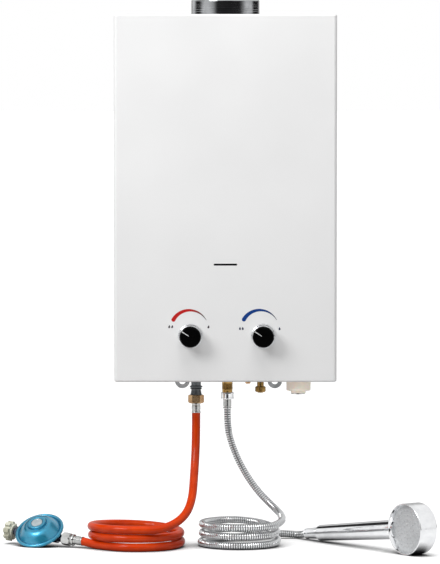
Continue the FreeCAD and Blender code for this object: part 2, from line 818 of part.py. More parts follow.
def water_valve():
    left = water_valve_left
    body = block(left, water_valve_right, valve_front + 4, valve_front + valve_depth, valve_bottom, valve_top)
    body = body.makeFillet(4, [e for e in body.Edges if e.BoundBox.XLength > 9])
    body = body.fuse(sideways(diaphragm_r, valve_y, knob_z, left - 10, left))
    neck = across(11, water_knob_x, knob_z, valve_front - 2, valve_front + 4)
    outlet = upright(9, water_outlet_x, water_outlet_y, valve_top, valve_top + 6)
    drain_end = case_bottom - drain_reach - 3.4
    drain = upright(drain_stem_r, drain_x, valve_y, drain_end, valve_bottom + 5)
    body = joined([body, neck, outlet, drain])
    body = body.cut(sideways(diaphragm_r - 6, valve_y, knob_z, left - 11, left - 5))
    body = body.cut(across(plug_r - 1 + fit, water_knob_x, knob_z, valve_front + 6,
                           valve_front + 2 + plug_length))
    body = body.cut(across(spindle_r + fit, water_knob_x, knob_z, valve_front - 3, valve_front + 7))
    body = body.cut(upright(drain_pin_r + fit, drain_x, valve_y, drain_end - 1, valve_bottom))
    save("water_valve_body", body.cut(water_ways()))
    flange_left = left - 10
    diaphragm = sideways(diaphragm_r, valve_y, knob_z, flange_left - diaphragm_thickness, flange_left)
    save("water_diaphragm", diaphragm)
    cover_right = flange_left - diaphragm_thickness
    cover = sideways(diaphragm_r, valve_y, knob_z, cover_right - 10, cover_right)
    cover = cover.cut(sideways(diaphragm_plate_r + 4, valve_y, knob_z, cover_right - 8, cover_right + 1))
    cover = cover.cut(sideways(rod_r + fit, valve_y, knob_z, cover_right - 11, cover_right))
    save("water_valve_cover", cover)


def spindle(name, x, plug_radius, plug_front, plug_back, hole_y):
    shaft_end = case_front - knob_length + 5
    shaft = across(spindle_r, x, knob_z, shaft_end, plug_front)
    flat = block(x - 5, x + 5, shaft_end - 1, case_front - 6, knob_z + spindle_r - 1, knob_z + 5)
    plug = across(plug_radius, x, knob_z, plug_front, plug_back)
    plug = plug.cut(upright(plug_hole_r, x, hole_y, knob_z - 9, knob_z + 9))
    save(name, shaft.cut(flat).fuse(plug))


def knob(name, x):
    back = case_front - knob_gap
    front = back - knob_length
    body = across(knob_d / 2, x, knob_z, front + knob_cap_thickness, back)
    skirt = across(knob_skirt_d / 2, x, knob_z, back - knob_skirt_height, back)
    body = body.fuse(skirt.makeChamfer(1, [e for e in skirt.Edges if e.BoundBox.YMax < back - 0.1]))
    hollow_front = front + knob_length / 2
    body = body.cut(across(knob_d / 2 - knob_wall, x, knob_z, hollow_front, back + 1).cut(
        across(spindle_r + knob_wall, x, knob_z, hollow_front, back + 1)))
    bore = across(spindle_r + fit, x, knob_z, case_front - knob_length + 5, back + 1)
    flat = block(x - 5, x + 5, case_front - knob_length, case_front - 6,
                 knob_z + spindle_r - 1 + fit, knob_z + 5)
    body = body.cut(bore.cut(flat))
    save(name, body)
    face = front - knob_cap_proud
    cap = across(knob_cap_d / 2, x, knob_z, face, front + knob_cap_thickness)
    cap = cap.makeFillet(1.2, [e for e in cap.Edges if e.BoundBox.YMax < face + 0.1])
    groove = block(2, knob_cap_d / 2 - 1, face - 1, face + 0.4, -pointer_width / 2, pointer_width / 2)
    groove.rotate(V(0, 0, 0), V(0, -1, 0), pointer_angle)
    groove.translate(V(x, 0, knob_z))
    save(name + "_cap", cap.cut(groove))


def fitting(x, y, radius, top, bottom, extras):
    body = upright(radius, x, y, bottom, top)
    nut = hexagon(2 * (radius + fitting_flange) * 0.92, V(x, y, panel_top),
                  V(x, y, panel_top + fitting_flange_thickness))
    return joined([body, nut] + extras)


def gas_fitting():
    x, y = gas_inlet_x, valve_y
    bottom = case_bottom - gas_inlet_reach
    bulge = upright(gas_bulge_r, x, y, bottom + 10.6, bottom + 13.6)
    flare = Part.makeCone(gas_inlet_r + 1, gas_inlet_r, 6, V(x, y, bottom), V(0, 0, 1))
    body = fitting(x, y, gas_inlet_r, valve_bottom, bottom, [bulge, flare])
    save("gas_inlet_fitting", body.cut(upright(fitting_bore_r - 1, x, y, bottom - 1, valve_bottom + 1)))


def hot_fitting():
    x, y = hot_outlet_x, -hot_outlet_inset
    bottom = case_bottom - hot_outlet_reach
    top = case_bottom + hot_outlet_rise
    body = fitting(x, y, hot_outlet_r, top, bottom, [])
    save("hot_outlet_fitting", body.cut(upright(fitting_bore_r, x, y, bottom - 1, top + 1)))


def cold_fitting():
    x, y = cold_inlet_x, -cold_inlet_inset
    bottom = case_bottom - cold_inlet_reach
    arm = sideways(water_way_r + 2, y, inlet_arm_z, water_valve_right, x)
    lock_top = panel_top - sheet - fit
    lock_bottom = lock_top - cold_lock_height
    lock = hexagon(cold_lock_flats, V(x, y, lock_bottom), V(x, y, lock_top))
    thread = upright(cold_inlet_r, x, y, bottom, lock_bottom)
    body = fitting(x, y, cold_inlet_r - cold_neck_step, inlet_arm_z + 9, bottom, [arm, lock, thread])
    body = body.cut(upright(cold_inlet_bore_r, x, y, bottom - 1, inlet_arm_z + 4))
    body = body.cut(sideways(water_way_r, y, inlet_arm_z, water_valve_right - 1, x))
    save("water_inlet_fitting", body)
    basket_r = cold_inlet_bore_r - 2
    ring = sleeve(cold_inlet_bore_r - fit, basket_r, V(x, y, bottom), V(x, y, bottom + 2))
    basket = upright(basket_r, x, y, bottom, bottom + 22)
    basket = basket.cut(upright(basket_r - 1, x, y, bottom - 1, bottom + 21))
    holes = []
    for k in range(5):
        z = bottom + 5 + 3.5 * k
        holes.append(sideways(1, y, z, x - 9, x + 9))
        holes.append(across(1, x, z, y - 9, y + 9))
    save("inlet_filter", ring.fuse(basket).cut(joined(holes)))


def water_pipes():
    start = exchanger_points()[0]
    end = exchanger_points()[-1]
    outlet = V(water_outlet_x, water_outlet_y, valve_top + 6)
    space = burner_bottom - valve_top
    level = burner_bottom - space * 0.48
    cold = [outlet, V(outlet.x, outlet.y, level), V(start.x, start.y, level), start]
    save("cold_pipe", hollow_pipe(cold, water_pipe_d, water_pipe_wall, water_pipe_bend))
    level = burner_bottom - space * 0.28
    hot = [end, V(end.x, end.y, level), V(hot_outlet_x, -hot_outlet_inset, level),
           V(hot_outlet_x, -hot_outlet_inset, case_bottom + hot_outlet_rise)]
    save("hot_pipe", hollow_pipe(hot, water_pipe_d, water_pipe_wall, water_pipe_bend))
    side = shell_width / 2
    z = wrap_z + thermostat_rise
    cutout = sideways(thermostat_r, -collar_inset, z, side, side + 5)
    stem = sideways(thermostat_r - 3, -collar_inset, z, side + 5, side + 8)
    save("overheat_thermostat", cutout.fuse(stem))


def drain_valve():
    x, y = drain_x, valve_y
    top = case_bottom - drain_reach
    bottom = top - drain_cap_height
    cap = upright(drain_cap_r, x, y, bottom, top)
    cap = cap.makeChamfer(1.2, [e for e in cap.Edges if e.BoundBox.ZLength < 0.1])
    flutes = []
    for k in range(24):
        spin = math.radians(15 * k)
        flutes.append(upright(0.55, x + drain_cap_r * math.cos(spin), y + drain_cap_r * math.sin(spin),
                              bottom - 1, top + 1))
    cap = cap.cut(joined(flutes))
    cap = cap.cut(upright(drain_stem_r + fit, x, y, top - 4.5, top + 1))
    cap = cap.cut(upright(drain_pin_r + fit, x, y, bottom - 1, top))
    save("drain_cap", cap)
    pin = upright(drain_pin_r, x, y, bottom - 1, valve_bottom - 2)
    head = upright(drain_pin_r + 1.5, x, y, bottom - 1, bottom - fit)
    save("drain_stem", pin.fuse(head))


def battery_holder():
    x, y = battery_x, -battery_inset
    cap_top = case_bottom - fit
    plug_top = cap_top + cap_plug_height
    cells_bottom = plug_top + cap_spring_height
    inner_top = cells_bottom + 2 * cell_length + fit
    outer = tube_bore_r + tube_wall
    holder = upright(outer, x, y, case_bottom, inner_top + tube_wall)
    holder = holder.fuse(upright(outer + 3.5, x, y, panel_top, panel_top + 1.5))
    holder = holder.cut(upright(tube_bore_r, x, y, case_bottom - 1, inner_top))
    groove_r = tube_bore_r + 1.2
    groove = upright(groove_r, x, y, case_bottom + 2, case_bottom + 6)
    entry = block(-lug_width / 2 - slip, lug_width / 2 + slip, -groove_r, groove_r,
                  case_bottom - 1, case_bottom + 3)
    entry = entry.common(upright(groove_r, 0, 0, case_bottom - 1, case_bottom + 3))
    entry.rotate(V(0, 0, 0), V(0, 0, 1), 70)
    entry.translate(V(x, y, 0))
    holder = holder.cut(groove).cut(entry)
    save("battery_tube", holder)
    bottom = cap_top - cap_height
    head = upright(cap_r, x, y, bottom, cap_top)
    head = head.makeFillet(2, [e for e in head.Edges if e.BoundBox.ZMax < bottom + 0.1])
    grip = block(x - cap_grip_width / 2, x + cap_grip_width / 2, y - 4, y + 4,
                 bottom - cap_grip_height, bottom + 1)
    grip = grip.makeFillet(1.5, [e for e in grip.Edges if e.BoundBox.ZMax < bottom - 0.1])
    plug = upright(tube_bore_r - 0.2, x, y, cap_top, plug_top)
    lugs = block(x - lug_width / 2, x + lug_width / 2, y - groove_r, y + groove_r, case_bottom + 2.5,
                 case_bottom + 5.5)
    lugs = lugs.common(upright(groove_r - 0.2, x, y, case_bottom, case_bottom + 9))
    save("battery_cap", joined([head, grip, plug, lugs]))
    coil = spring(cap_spring_wire, cap_spring_r, cap_spring_height - 2 * fit, cap_spring_turns)
    coil.translate(V(x, y, plug_top + fit))
    save("battery_spring", coil)
    cells = []
    for k in range(2):
        z = cells_bottom + k * cell_length
        can = upright(cell_r, x, y, z, z + cell_length - 2)
        cells.append(can.fuse(upright(4.5, x, y, z + cell_length - 2, z + cell_length)))
    group("battery_cells", cells)


def hose_ring(x, y, radius, diameter, pitch, rings):
    # the outer form of a flat coil on the floor
    height = pitch * (rings - 1) + diameter
    outer = upright(radius + diameter / 2, x, y, floor, floor + height)
    ring = outer.cut(upright(radius - diameter / 2, x, y, floor - 1, floor + height + 1))
    soft = diameter * 0.35
    return ring.makeFillet(soft, [e for e in ring.Edges if e.BoundBox.ZLength < 0.1])


def between(start, end, shares):
    # a point at its own share of the way along each axis
    span = end - start
    return V(start.x + span.x * shares.x, start.y + span.y * shares.y, start.z + span.z * shares.z)


def gas_hose_points():
    top = case_bottom - gas_inlet_reach - gas_nut_length - gas_ferrule_length
    ring_top = floor + gas_hose_d / 2 + gas_coil_pitch * (gas_coil_rings - 1)
    start = V(gas_inlet_x, valve_y, top)
    end = V(gas_coil_x + gas_coil_r * 0.475, gas_coil_y - gas_coil_r, ring_top)
    fall = [V(0, 0, 0.2), V(0.02, 0.09, 0.4), V(0.06, 0.27, 0.59), V(0.1, 0.49, 0.735), V(0.2, 0.69, 0.845),
            V(0.39, 0.85, 0.915), V(0.65, 0.95, 0.965)]
    return [start] + [between(start, end, shares) for shares in fall] + [end]


def gas_hose():
    x, y = gas_inlet_x, valve_y
    nut_top = case_bottom - gas_inlet_reach
    nut_bottom = nut_top - gas_nut_length
    nut = hexagon(gas_nut_flats, V(x, y, nut_bottom), V(x, y, nut_top))
    nut = nut.common(upright(gas_nut_flats / 2 + 1.1, x, y, nut_bottom, nut_top))
    nut = nut.cut(upright(fitting_bore_r, x, y, nut_bottom - 1, nut_top + 1))
    save("gas_hose_nut", nut)
    ferrule_bottom = nut_bottom - gas_ferrule_length
    first = ferrule(V(x, y, nut_bottom), V(x, y, ferrule_bottom), gas_ferrule_r)
    place = regulator_place()
    start = regulator_neck + regulator_nut_length
    axis_z = -regulator_axis_drop
    second = ferrule(place.multVec(V(start, 0, axis_z)),
                     place.multVec(V(start + gas_ferrule_length, 0, axis_z)), gas_ferrule_r)
    group("gas_hose_ferrules", [first, second])
    group("gas_hose", [hose_tube("gas hose", gas_hose_points(), gas_hose_d),
                       hose_tube("gas hose end", gas_end_points(), gas_hose_d)])
    ring = hose_ring(gas_coil_x, gas_coil_y, gas_coil_r, gas_hose_d, gas_coil_pitch, gas_coil_rings)
    save("gas_hose_coil", ring)


def gas_end_points():
    place = regulator_place()
    start = regulator_neck + regulator_nut_length + gas_ferrule_length
    begin = place.multVec(V(start, 0, -regulator_axis_drop))
    rest = floor + gas_hose_d / 2
    first = begin + (place.multVec(V(start + 18, 0, -regulator_axis_drop)) - begin)
    first.z = rest + 0.2
    last = V(gas_coil_x - gas_coil_r * 0.53, gas_coil_y - gas_coil_r * 0.848, rest)
    return [begin, first, between(first, last, V(0.48, 0.42, 1)), last]


def ferrule(start, end, radius):
    along = end - start
    body = rod(radius, start, end)
    along.normalize()
    for reach in (0.25, 0.75):
        middle = start + along * ((end - start).Length * reach)
        band = sleeve(radius + 1, radius - 0.5, middle - along * 0.8, middle + along * 0.8)
        body = body.cut(band)
    return body


def shower_hose_points():
    top = case_bottom - hot_outlet_reach - shower_nut_length - shower_ferrule_length
    ring_top = floor + shower_hose_d / 2 + shower_coil_pitch * (shower_coil_rings - 1)
    start = V(hot_outlet_x, -hot_outlet_inset, top)
    end = V(shower_coil_x + shower_coil_r * 0.857, shower_coil_y - shower_coil_r * 0.696, ring_top)
    fall = [V(0, 0, 0.175), V(0.09, 0.01, 0.31), V(0.24, 0.045, 0.46), V(0.455, 0.11, 0.605),
            V(0.71, 0.185, 0.745), V(1, 0.285, 0.85), V(1.2, 0.44, 0.915), V(1.26, 0.635, 0.957),
            V(1.18, 0.835, 0.98)]
    return [start] + [between(start, end, shares) for shares in fall] + [end]


def shower_end_points():
    place = handset_place()
    end = place.multVec(V(-handset_nut_length, 0, 0))
    before = place.multVec(V(-handset_nut_length - 16, 0, 0))
    level = floor + shower_hose_d / 2
    before.z = level
    return [V(22, -46, level + 12), V(42, -36, level + 10), V(62, -20, level + 7), V(81, -9, level + 4),
            V(before.x - 14, before.y + 7, level + 1), before, end]


def shower_hose():
    x, y = hot_outlet_x, -hot_outlet_inset
    nut_top = case_bottom - hot_outlet_reach
    nut_bottom = nut_top - shower_nut_length
    nut = upright(shower_nut_d / 2, x, y, nut_bottom, nut_top)
    nut = nut.makeFillet(1, [e for e in nut.Edges if e.BoundBox.ZLength < 0.1])
    nut = nut.cut(upright(fitting_bore_r - 1, x, y, nut_bottom - 1, nut_top + 1))
    save("shower_hose_nut", nut)
    ferrule_bottom = nut_bottom - shower_ferrule_length
    save("shower_hose_ferrule", ferrule(V(x, y, nut_bottom), V(x, y, ferrule_bottom), shower_ferrule_r))
    save("shower_hose", hose_tube("shower hose", shower_hose_points(), shower_hose_d))
    save("shower_hose_coil", hose_ring(shower_coil_x, shower_coil_y, shower_coil_r, shower_hose_d,
                                       shower_coil_pitch, shower_coil_rings))
    save("shower_hose_end", hose_tube("shower hose end", shower_end_points(), shower_hose_d))


def regulator_place():
    # local +X runs along the gas way to the outlet, local +Z out of the dome
    heading = FreeCAD.Rotation(V(0, 0, 1), regulator_heading)
    dip = FreeCAD.Rotation(V(0, 1, 0), regulator_dip)
    roll = FreeCAD.Rotation(V(1, 0, 0), regulator_roll)
    turn = heading.multiply(dip).multiply(roll)
    normal = turn.multVec(V(0, 0, 1))
    ring_r = regulator_r - regulator_bead_r
    rise = ring_r * math.sqrt(1 - normal.z ** 2) + regulator_bead_r
    centre = V(regulator_x, regulator_y, floor + rise) + V(normal.x, normal.y, 0) * regulator_axis_drop
    return FreeCAD.Placement(centre, turn)


def placed(shape, place):
    copy = shape.copy()
    copy.Placement = place.multiply(copy.Placement)
    return copy


def turned(profile):
    # a solid of revolution about local +Z from points (radius, height)
    points = [V(r, 0, z) for r, z in profile]
    return Part.Face(Part.makePolygon(points + [points[0]])).revolve(V(0, 0, 0), V(0, 0, 1), 360)


def regulator():
    place = regulator_place()
    ring_r = regulator_r - regulator_bead_r
    wall = regulator_wall
    height = regulator_dome_height
    boss = regulator_boss_r
    top = height + regulator_boss_height
    seam = 0.4
    outline = [(ring_r, seam), (ring_r - 3, 2.0), (boss + 9, height * 0.72), (boss + 3, height * 0.96),
               (boss, height), (boss - 1, top - 1), (boss - 3, top), (0, top)]
    inside = [(0, top - wall), (boss - 3 - wall, top - wall), (boss - wall, height - wall),
              (boss + 8, height * 0.72 - wall), (ring_r - 4, seam + 0.4), (ring_r - 5, seam)]
    dome = turned(outline + inside)
    bead = Part.makeTorus(ring_r, regulator_bead_r).cut(block(-99, 99, -99, 99, -99, seam))
    dome = dome.fuse(bead)
    save("regulator_dome", placed(dome, place))
    depth = regulator_base_depth
    drop = regulator_axis_drop
    base = turned([(0, -depth), (boss, -depth), (boss + 9, -depth * 0.6), (ring_r - 1, -1.2),
                   (ring_r - 1, seam - 1.2), (0, seam - 1.2)])
    bead = Part.makeTorus(ring_r, regulator_bead_r)
    base = base.fuse(bead.common(block(-99, 99, -99, 99, -99, seam - 1.2)))
    base = base.fuse(sideways(drop - 1, 0, -drop, 0, regulator_neck - 8))
    base = base.fuse(sideways(regulator_stub_r, 0, -drop, 0, regulator_neck))
    base = base.fuse(sideways(drop - 1, 0, -drop, 0, -handwheel_offset + 3))
    nipple_end = -handwheel_offset - handwheel_width + handwheel_thread_length + slip
    base = base.fuse(sideways(nipple_r - 2, 0, -drop, 0, nipple_end))
    base = base.fuse(sideways(nipple_r, 0, -drop, nipple_end, nipple_end + nipple_head))
    cavity = turned([(0, -depth + 3), (boss - 3, -depth + 3), (boss + 3, -depth * 0.5), (ring_r - 6, -2),
                     (ring_r - 6, seam), (0, seam)])
    base = base.cut(cavity).cut(sideways(2.5, 0, -drop, nipple_end - 1, regulator_neck + 1))
    save("regulator_base", placed(base, place))
    diaphragm = Part.makeCylinder(ring_r - 1, seam + 0.8, V(0, 0, seam - 1.2))
    lift = diaphragm.cut(Part.makeCylinder(2.5, 9, V(0, 0, -4)))
    save("regulator_diaphragm", placed(lift, place))
    end = regulator_neck + regulator_nut_length
    nut = hexagon(regulator_nut_flats, V(regulator_neck, 0, -drop), V(end - 5, 0, -drop))
    nut = nut.fuse(sideways(regulator_nut_flats / 2 - 0.8, 0, -drop, end - 5, end - 1.5))
    nut = nut.fuse(sideways(regulator_nut_flats / 2 - 0.2, 0, -drop, end - 1.5, end))
    nut = nut.cut(sideways(3, 0, -drop, regulator_neck - 1, end + 1))
    save("regulator_nut", placed(nut, place))
    left = -handwheel_offset - handwheel_width
    wheel = sideways(handwheel_r - 2, 0, -drop, left, -handwheel_offset)
    wheel = wheel.makeFillet(1.5, [e for e in wheel.Edges if e.BoundBox.XLength < 0.1])
    ribs = []
    for k in range(handwheel_ribs):
        rib = block(left + 1, -handwheel_offset - 1, -2.2, 2.2, handwheel_r - 5, handwheel_r)
        rib.rotate(V(0, 0, 0), V(1, 0, 0), 360 / handwheel_ribs * k)
        rib.translate(V(0, 0, -drop))
        ribs.append(rib)
    wheel = joined([wheel] + ribs)
    wheel = wheel.cut(sideways(nipple_r - 2 + fit, 0, -drop, left - 1, -handwheel_offset + 1))
    thread_end = left + handwheel_thread_length
    wheel = wheel.cut(sideways(handwheel_thread_r, 0, -drop, left - 1, thread_end))
    wheel = wheel.cut(sideways(handwheel_thread_r + handwheel_relief, 0, -drop, thread_end,
                               nipple_end + nipple_head + fit))
    save("regulator_handwheel", placed(wheel, place))


def handset_place():
    # local +X runs from the hose end of the handle to the middle of the head
    rise = head_d / 2 - handle_end_r - 1
    pitch = -math.degrees(math.asin(rise / handset_length))
    heading = FreeCAD.Rotation(V(0, 0, 1), handset_heading)
    lift = FreeCAD.Rotation(V(0, 1, 0), pitch)
    return FreeCAD.Placement(V(handset_x, handset_y, floor + handle_end_r + 1), heading.multiply(lift))


def head_place():
    # local +Z runs out of the face
    centre = handset_place().multVec(V(handset_length, 0, 0))
    heading = FreeCAD.Rotation(V(0, 0, 1), head_facing)
    lay = FreeCAD.Rotation(V(0, 1, 0), 90)
    return FreeCAD.Placement(V(centre.x, centre.y, floor + head_d / 2), heading.multiply(lay))


def handset():
    place = handset_place()
    head_at = head_place()
    head_r = head_d / 2
    half = head_depth / 2
    neck = handset_length - head_r * 0.6
    outer = [(0, 0), (handle_end_r - 1, 0), (handle_end_r, 1.5), (handle_head_r, neck * 0.75),
             (handle_head_r + 0.5, neck * 0.9), (handle_head_r + 1.5, neck), (0, neck)]
    handle = turned(outer)
    handle.rotate(V(0, 0, 0), V(0, 1, 0), 90)
    handle = placed(handle, place)
    drum = Part.makeCylinder(head_r, head_depth, V(0, 0, -half))
    drum = drum.makeFillet(4, [e for e in drum.Edges if e.BoundBox.ZMax < -half + 0.1])
    drum = drum.makeFillet(1, [e for e in drum.Edges if e.BoundBox.ZMin > half - 0.1])
    body = handle.fuse(placed(drum, head_at))
    bore = Part.makeCylinder(handle_end_r - handle_wall - 2, neck + 2, V(-1, 0, 0), V(1, 0, 0))
    body = body.cut(placed(bore, place))
    plate_top = half - face_recess
    plate_bottom = plate_top - face_plate_thickness
    cavity = Part.makeCylinder(head_r - head_wall - 3, plate_bottom + half - head_wall,
                               V(0, 0, -half + head_wall))
    seat = Part.makeCylinder(face_plate_r + fit, half - plate_bottom + 1, V(0, 0, plate_bottom))
    body = body.cut(placed(cavity.fuse(seat), head_at))
    save("handset_body", body)
    plate = Part.makeCylinder(face_plate_r, face_plate_thickness, V(0, 0, plate_bottom))
    nozzles = []
    for ring in range(1, nozzle_rings + 1):
        radius = ring * (face_plate_r - 6) / nozzle_rings
        count = 6 * ring
        for k in range(count):
            spin = 2 * math.pi * k / count
            nozzles.append(Part.makeCylinder(nozzle_r, nozzle_height + 0.5,
                                             V(radius * math.cos(spin), radius * math.sin(spin),
                                               plate_top - 0.5)))
    save("handset_face", placed(joined([plate] + nozzles), head_at))
    nut = Part.makeCone(handset_nut_small_r, handset_nut_large_r, handset_nut_length - slip,
                        V(-handset_nut_length, 0, 0), V(1, 0, 0))
    nut = nut.cut(Part.makeCylinder(4, handset_nut_length + 2, V(-handset_nut_length - 1, 0, 0), V(1, 0, 0)))
    save("handset_nut", placed(nut, place))


def controls():
    gas_valve()
    push_rod()
    water_valve()
    plug_front = valve_front + 2 + fit
    spindle("gas_spindle", gas_knob_x, plug_r, plug_front, plug_front + plug_length - 2 * fit, gas_way_y)
    plug_front = valve_front + 6 + fit
    spindle("water_spindle", water_knob_x, plug_r - 1, plug_front, plug_front + plug_length - 4 - 2 * fit,
            water_way_y)
    knob("gas_knob", gas_knob_x)
    knob("water_knob", water_knob_x)


def main():
    front_cover()
    back_plate()
    casing_screws()
    flue_collar()
    draft_hood()
    heat_exchanger()
    burner()
    manifold()
    ignition()
    controls()
    gas_fitting()
    hot_fitting()
    cold_fitting()
    water_pipes()
    drain_valve()
    battery_holder()
    gas_hose()
    shower_hose()
    regulator()
    handset()


main()
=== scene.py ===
import bmesh
import bpy
import json
from math import asin, cos, pi, radians, sin, sqrt
from mathutils import Matrix, Vector

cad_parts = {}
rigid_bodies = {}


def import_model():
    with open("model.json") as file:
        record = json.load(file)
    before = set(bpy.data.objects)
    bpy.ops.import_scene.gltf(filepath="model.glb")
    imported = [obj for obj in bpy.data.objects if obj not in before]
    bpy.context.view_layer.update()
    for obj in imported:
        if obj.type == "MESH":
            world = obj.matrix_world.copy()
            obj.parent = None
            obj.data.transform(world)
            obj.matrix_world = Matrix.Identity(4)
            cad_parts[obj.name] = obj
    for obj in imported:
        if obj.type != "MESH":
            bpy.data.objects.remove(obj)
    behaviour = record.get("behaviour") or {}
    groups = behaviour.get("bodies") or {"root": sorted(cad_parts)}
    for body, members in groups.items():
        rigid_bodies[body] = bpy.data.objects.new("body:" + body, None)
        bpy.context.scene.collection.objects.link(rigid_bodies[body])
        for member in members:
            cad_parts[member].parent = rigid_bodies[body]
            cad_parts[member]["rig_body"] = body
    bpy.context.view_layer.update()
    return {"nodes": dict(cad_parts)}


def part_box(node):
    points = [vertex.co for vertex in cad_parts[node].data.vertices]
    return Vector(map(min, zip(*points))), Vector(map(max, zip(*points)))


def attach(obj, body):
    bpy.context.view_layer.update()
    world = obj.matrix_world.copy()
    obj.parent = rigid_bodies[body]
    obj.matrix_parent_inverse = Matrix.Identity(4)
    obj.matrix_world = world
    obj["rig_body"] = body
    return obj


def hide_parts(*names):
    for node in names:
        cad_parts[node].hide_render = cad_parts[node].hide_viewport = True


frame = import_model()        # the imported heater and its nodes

# Portable propane water heater with its gas hose, regulator, shower hose and hand shower.
# +X right, +Y towards the wall, +Z up. The origin is the hanging hole in the back plate.
# Places and the pieces' sizes are in millimetres. The floor and the lamps' sizes are in metres.

mm = 0.001
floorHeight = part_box("gas_hose_coil")[0].z


def linear(code):
    # sRGB hex to linear colour
    value = int(code.lstrip("#"), 16)
    parts = [(value >> shift & 255) / 255 for shift in (16, 8, 0)]
    return [c / 12.92 if c <= 0.04045 else ((c + 0.055) / 1.055) ** 2.4 for c in parts] + [1.0]


def point(x, y, z):
    return Vector((x, y, z)) * mm


def standing(x, y, z):
    # a place whose local Z points straight up
    return Matrix.Translation(point(x, y, z))


def addNode(tree, kind, settings=None, links=None):
    # a shader node with its settings and the outputs that feed it
    node = tree.nodes.new("ShaderNode" + kind)
    for name, value in (settings or {}).items():
        if isinstance(name, str) and hasattr(node, name):
            setattr(node, name, value)
        else:
            node.inputs[name].default_value = value
    for name, output in (links or {}).items():
        tree.links.new(output, node.inputs[name])
    return node


def newMaterial(name, colour, sockets):
    material = bpy.data.materials.new(name)
    material.use_nodes = True
    tree = material.node_tree
    shader = tree.nodes["Principled BSDF"]
    shader.inputs["Base Color"].default_value = linear(colour)
    for socket, value in sockets.items():
        shader.inputs[socket].default_value = value
    return material, tree, shader


def asMesh(name, bm):
    mesh = bpy.data.meshes.new(name)
    bm.to_mesh(mesh)
    bm.free()
    return mesh


def addObject(name, data):
    made = bpy.data.objects.new(name, data)
    bpy.context.scene.collection.objects.link(made)
    return made


def smoothFaces(bm, limit):
    for face in bm.faces:
        face.smooth = True
    for edge in bm.edges:
        edge.smooth = len(edge.link_faces) == 2 and edge.calc_face_angle(0) < radians(limit)


def addPiece(name, bm, material, body="root", standsFor=(), limit=35):
    smoothFaces(bm, limit)
    mesh = asMesh(name, bm)
    mesh.materials.append(material)
    piece = addObject(name, mesh)
    # long faces stay flat beside small rounds
    piece.modifiers.new("even shading", "WEIGHTED_NORMAL").keep_sharp = True
    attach(piece, body)
    if standsFor:
        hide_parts(*standsFor)
    return piece


def bodyOf(node):
    return frame["nodes"][node]["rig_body"]


def frameAlong(origin, axis, up=None):
    # a matrix whose local Z is the axis, and whose local X lies towards up
    z = Vector(axis).normalized()
    guide = Vector(up) if up else (Vector((1, 0, 0)) if abs(z.x) < 0.9 else Vector((0, 1, 0)))
    y = z.cross(guide).normalized()
    x = y.cross(z)
    turn = Matrix((x, y, z)).transposed().to_4x4()
    return Matrix.Translation(origin) @ turn


def softenEdges(bm, width):
    sharp = radians(25)
    edges = [e for e in bm.edges if len(e.link_faces) == 2 and e.calc_face_angle(0) > sharp]
    bmesh.ops.bevel(bm, geom=edges, offset=width * mm, offset_type="OFFSET", segments=2, profile=0.5,
                    affect="EDGES", material=-1, clamp_overlap=True)


def turned(profile, closed=False, steps=96, soften=0.0):
    # a profile of (radius, height) spun about local Z
    bm = bmesh.new()
    verts = [bm.verts.new((r * mm, 0, h * mm)) for r, h in profile]
    edges = [bm.edges.new(pair) for pair in zip(verts, verts[1:])]
    if closed:
        edges.append(bm.edges.new((verts[-1], verts[0])))
    bmesh.ops.spin(bm, geom=verts + edges, cent=(0, 0, 0), axis=(0, 0, 1), angle=2 * pi,
                   steps=steps, use_merge=True, use_duplicate=False)
    bmesh.ops.remove_doubles(bm, verts=bm.verts[:], dist=0.02 * mm)
    if soften:
        softenEdges(bm, soften)
    bmesh.ops.recalc_face_normals(bm, faces=bm.faces[:])
    return bm


def brick(low, high, soften=0.0):
    bm = bmesh.new()
    size = [b - a for a, b in zip(low, high)]
    middle = [(a + b) / 2 for a, b in zip(low, high)]
    bmesh.ops.create_cube(bm, size=mm, matrix=Matrix.Translation(Vector(middle) * mm)
                          @ Matrix.Diagonal((*size, 1)))
    if soften:
        softenEdges(bm, soften)
    return bm


def moved(bm, matrix):
    bmesh.ops.transform(bm, matrix=matrix, verts=bm.verts[:])
    return bm


def merged(shapes):
    # several loose shapes in one mesh
    bm = bmesh.new()
    for shape in shapes:
        mesh = asMesh("part", shape)
        bm.from_mesh(mesh)
        bpy.data.meshes.remove(mesh)
    return bm


def carved(bm, tool, operation="DIFFERENCE"):
    # one closed shape cut by, or kept inside, another
    made = [addObject("part", asMesh("part", shape)) for shape in (bm, tool)]
    cut = made[0].modifiers.new("cut", "BOOLEAN")
    cut.operation = operation
    cut.solver = "EXACT"
    cut.object = made[1]
    result = bmesh.new()
    result.from_mesh(made[0].evaluated_get(bpy.context.evaluated_depsgraph_get()).to_mesh())
    for thing in made:
        bpy.data.objects.remove(thing)
    return result


def smoothCopy(node, material, name, limit=25):
    # the node's own shape, merged and smoothly shaded
    bm = bmesh.new()
    bm.from_mesh(frame["nodes"][node].data)
    bmesh.ops.remove_doubles(bm, verts=bm.verts[:], dist=0.005 * mm)
    bmesh.ops.dissolve_limit(bm, angle_limit=radians(0.5), verts=bm.verts[:], edges=bm.edges[:])
    return addPiece(name, bm, material, bodyOf(node), [node], limit=limit)


cameraView = {"place": (-8, -6790, 40), "pitchDown": 3.41, "lens": 287, "sensor": 36, "reach": 100}


def addCamera():
    data = bpy.data.cameras.new("camera")
    data.sensor_fit = "VERTICAL"
    data.sensor_height = cameraView["sensor"]
    data.lens = cameraView["lens"]
    data.clip_end = cameraView["reach"]
    camera = addObject("camera", data)
    camera.location = point(*cameraView["place"])
    camera.rotation_euler = (radians(90 - cameraView["pitchDown"]), 0, 0)
    bpy.context.scene.camera = camera


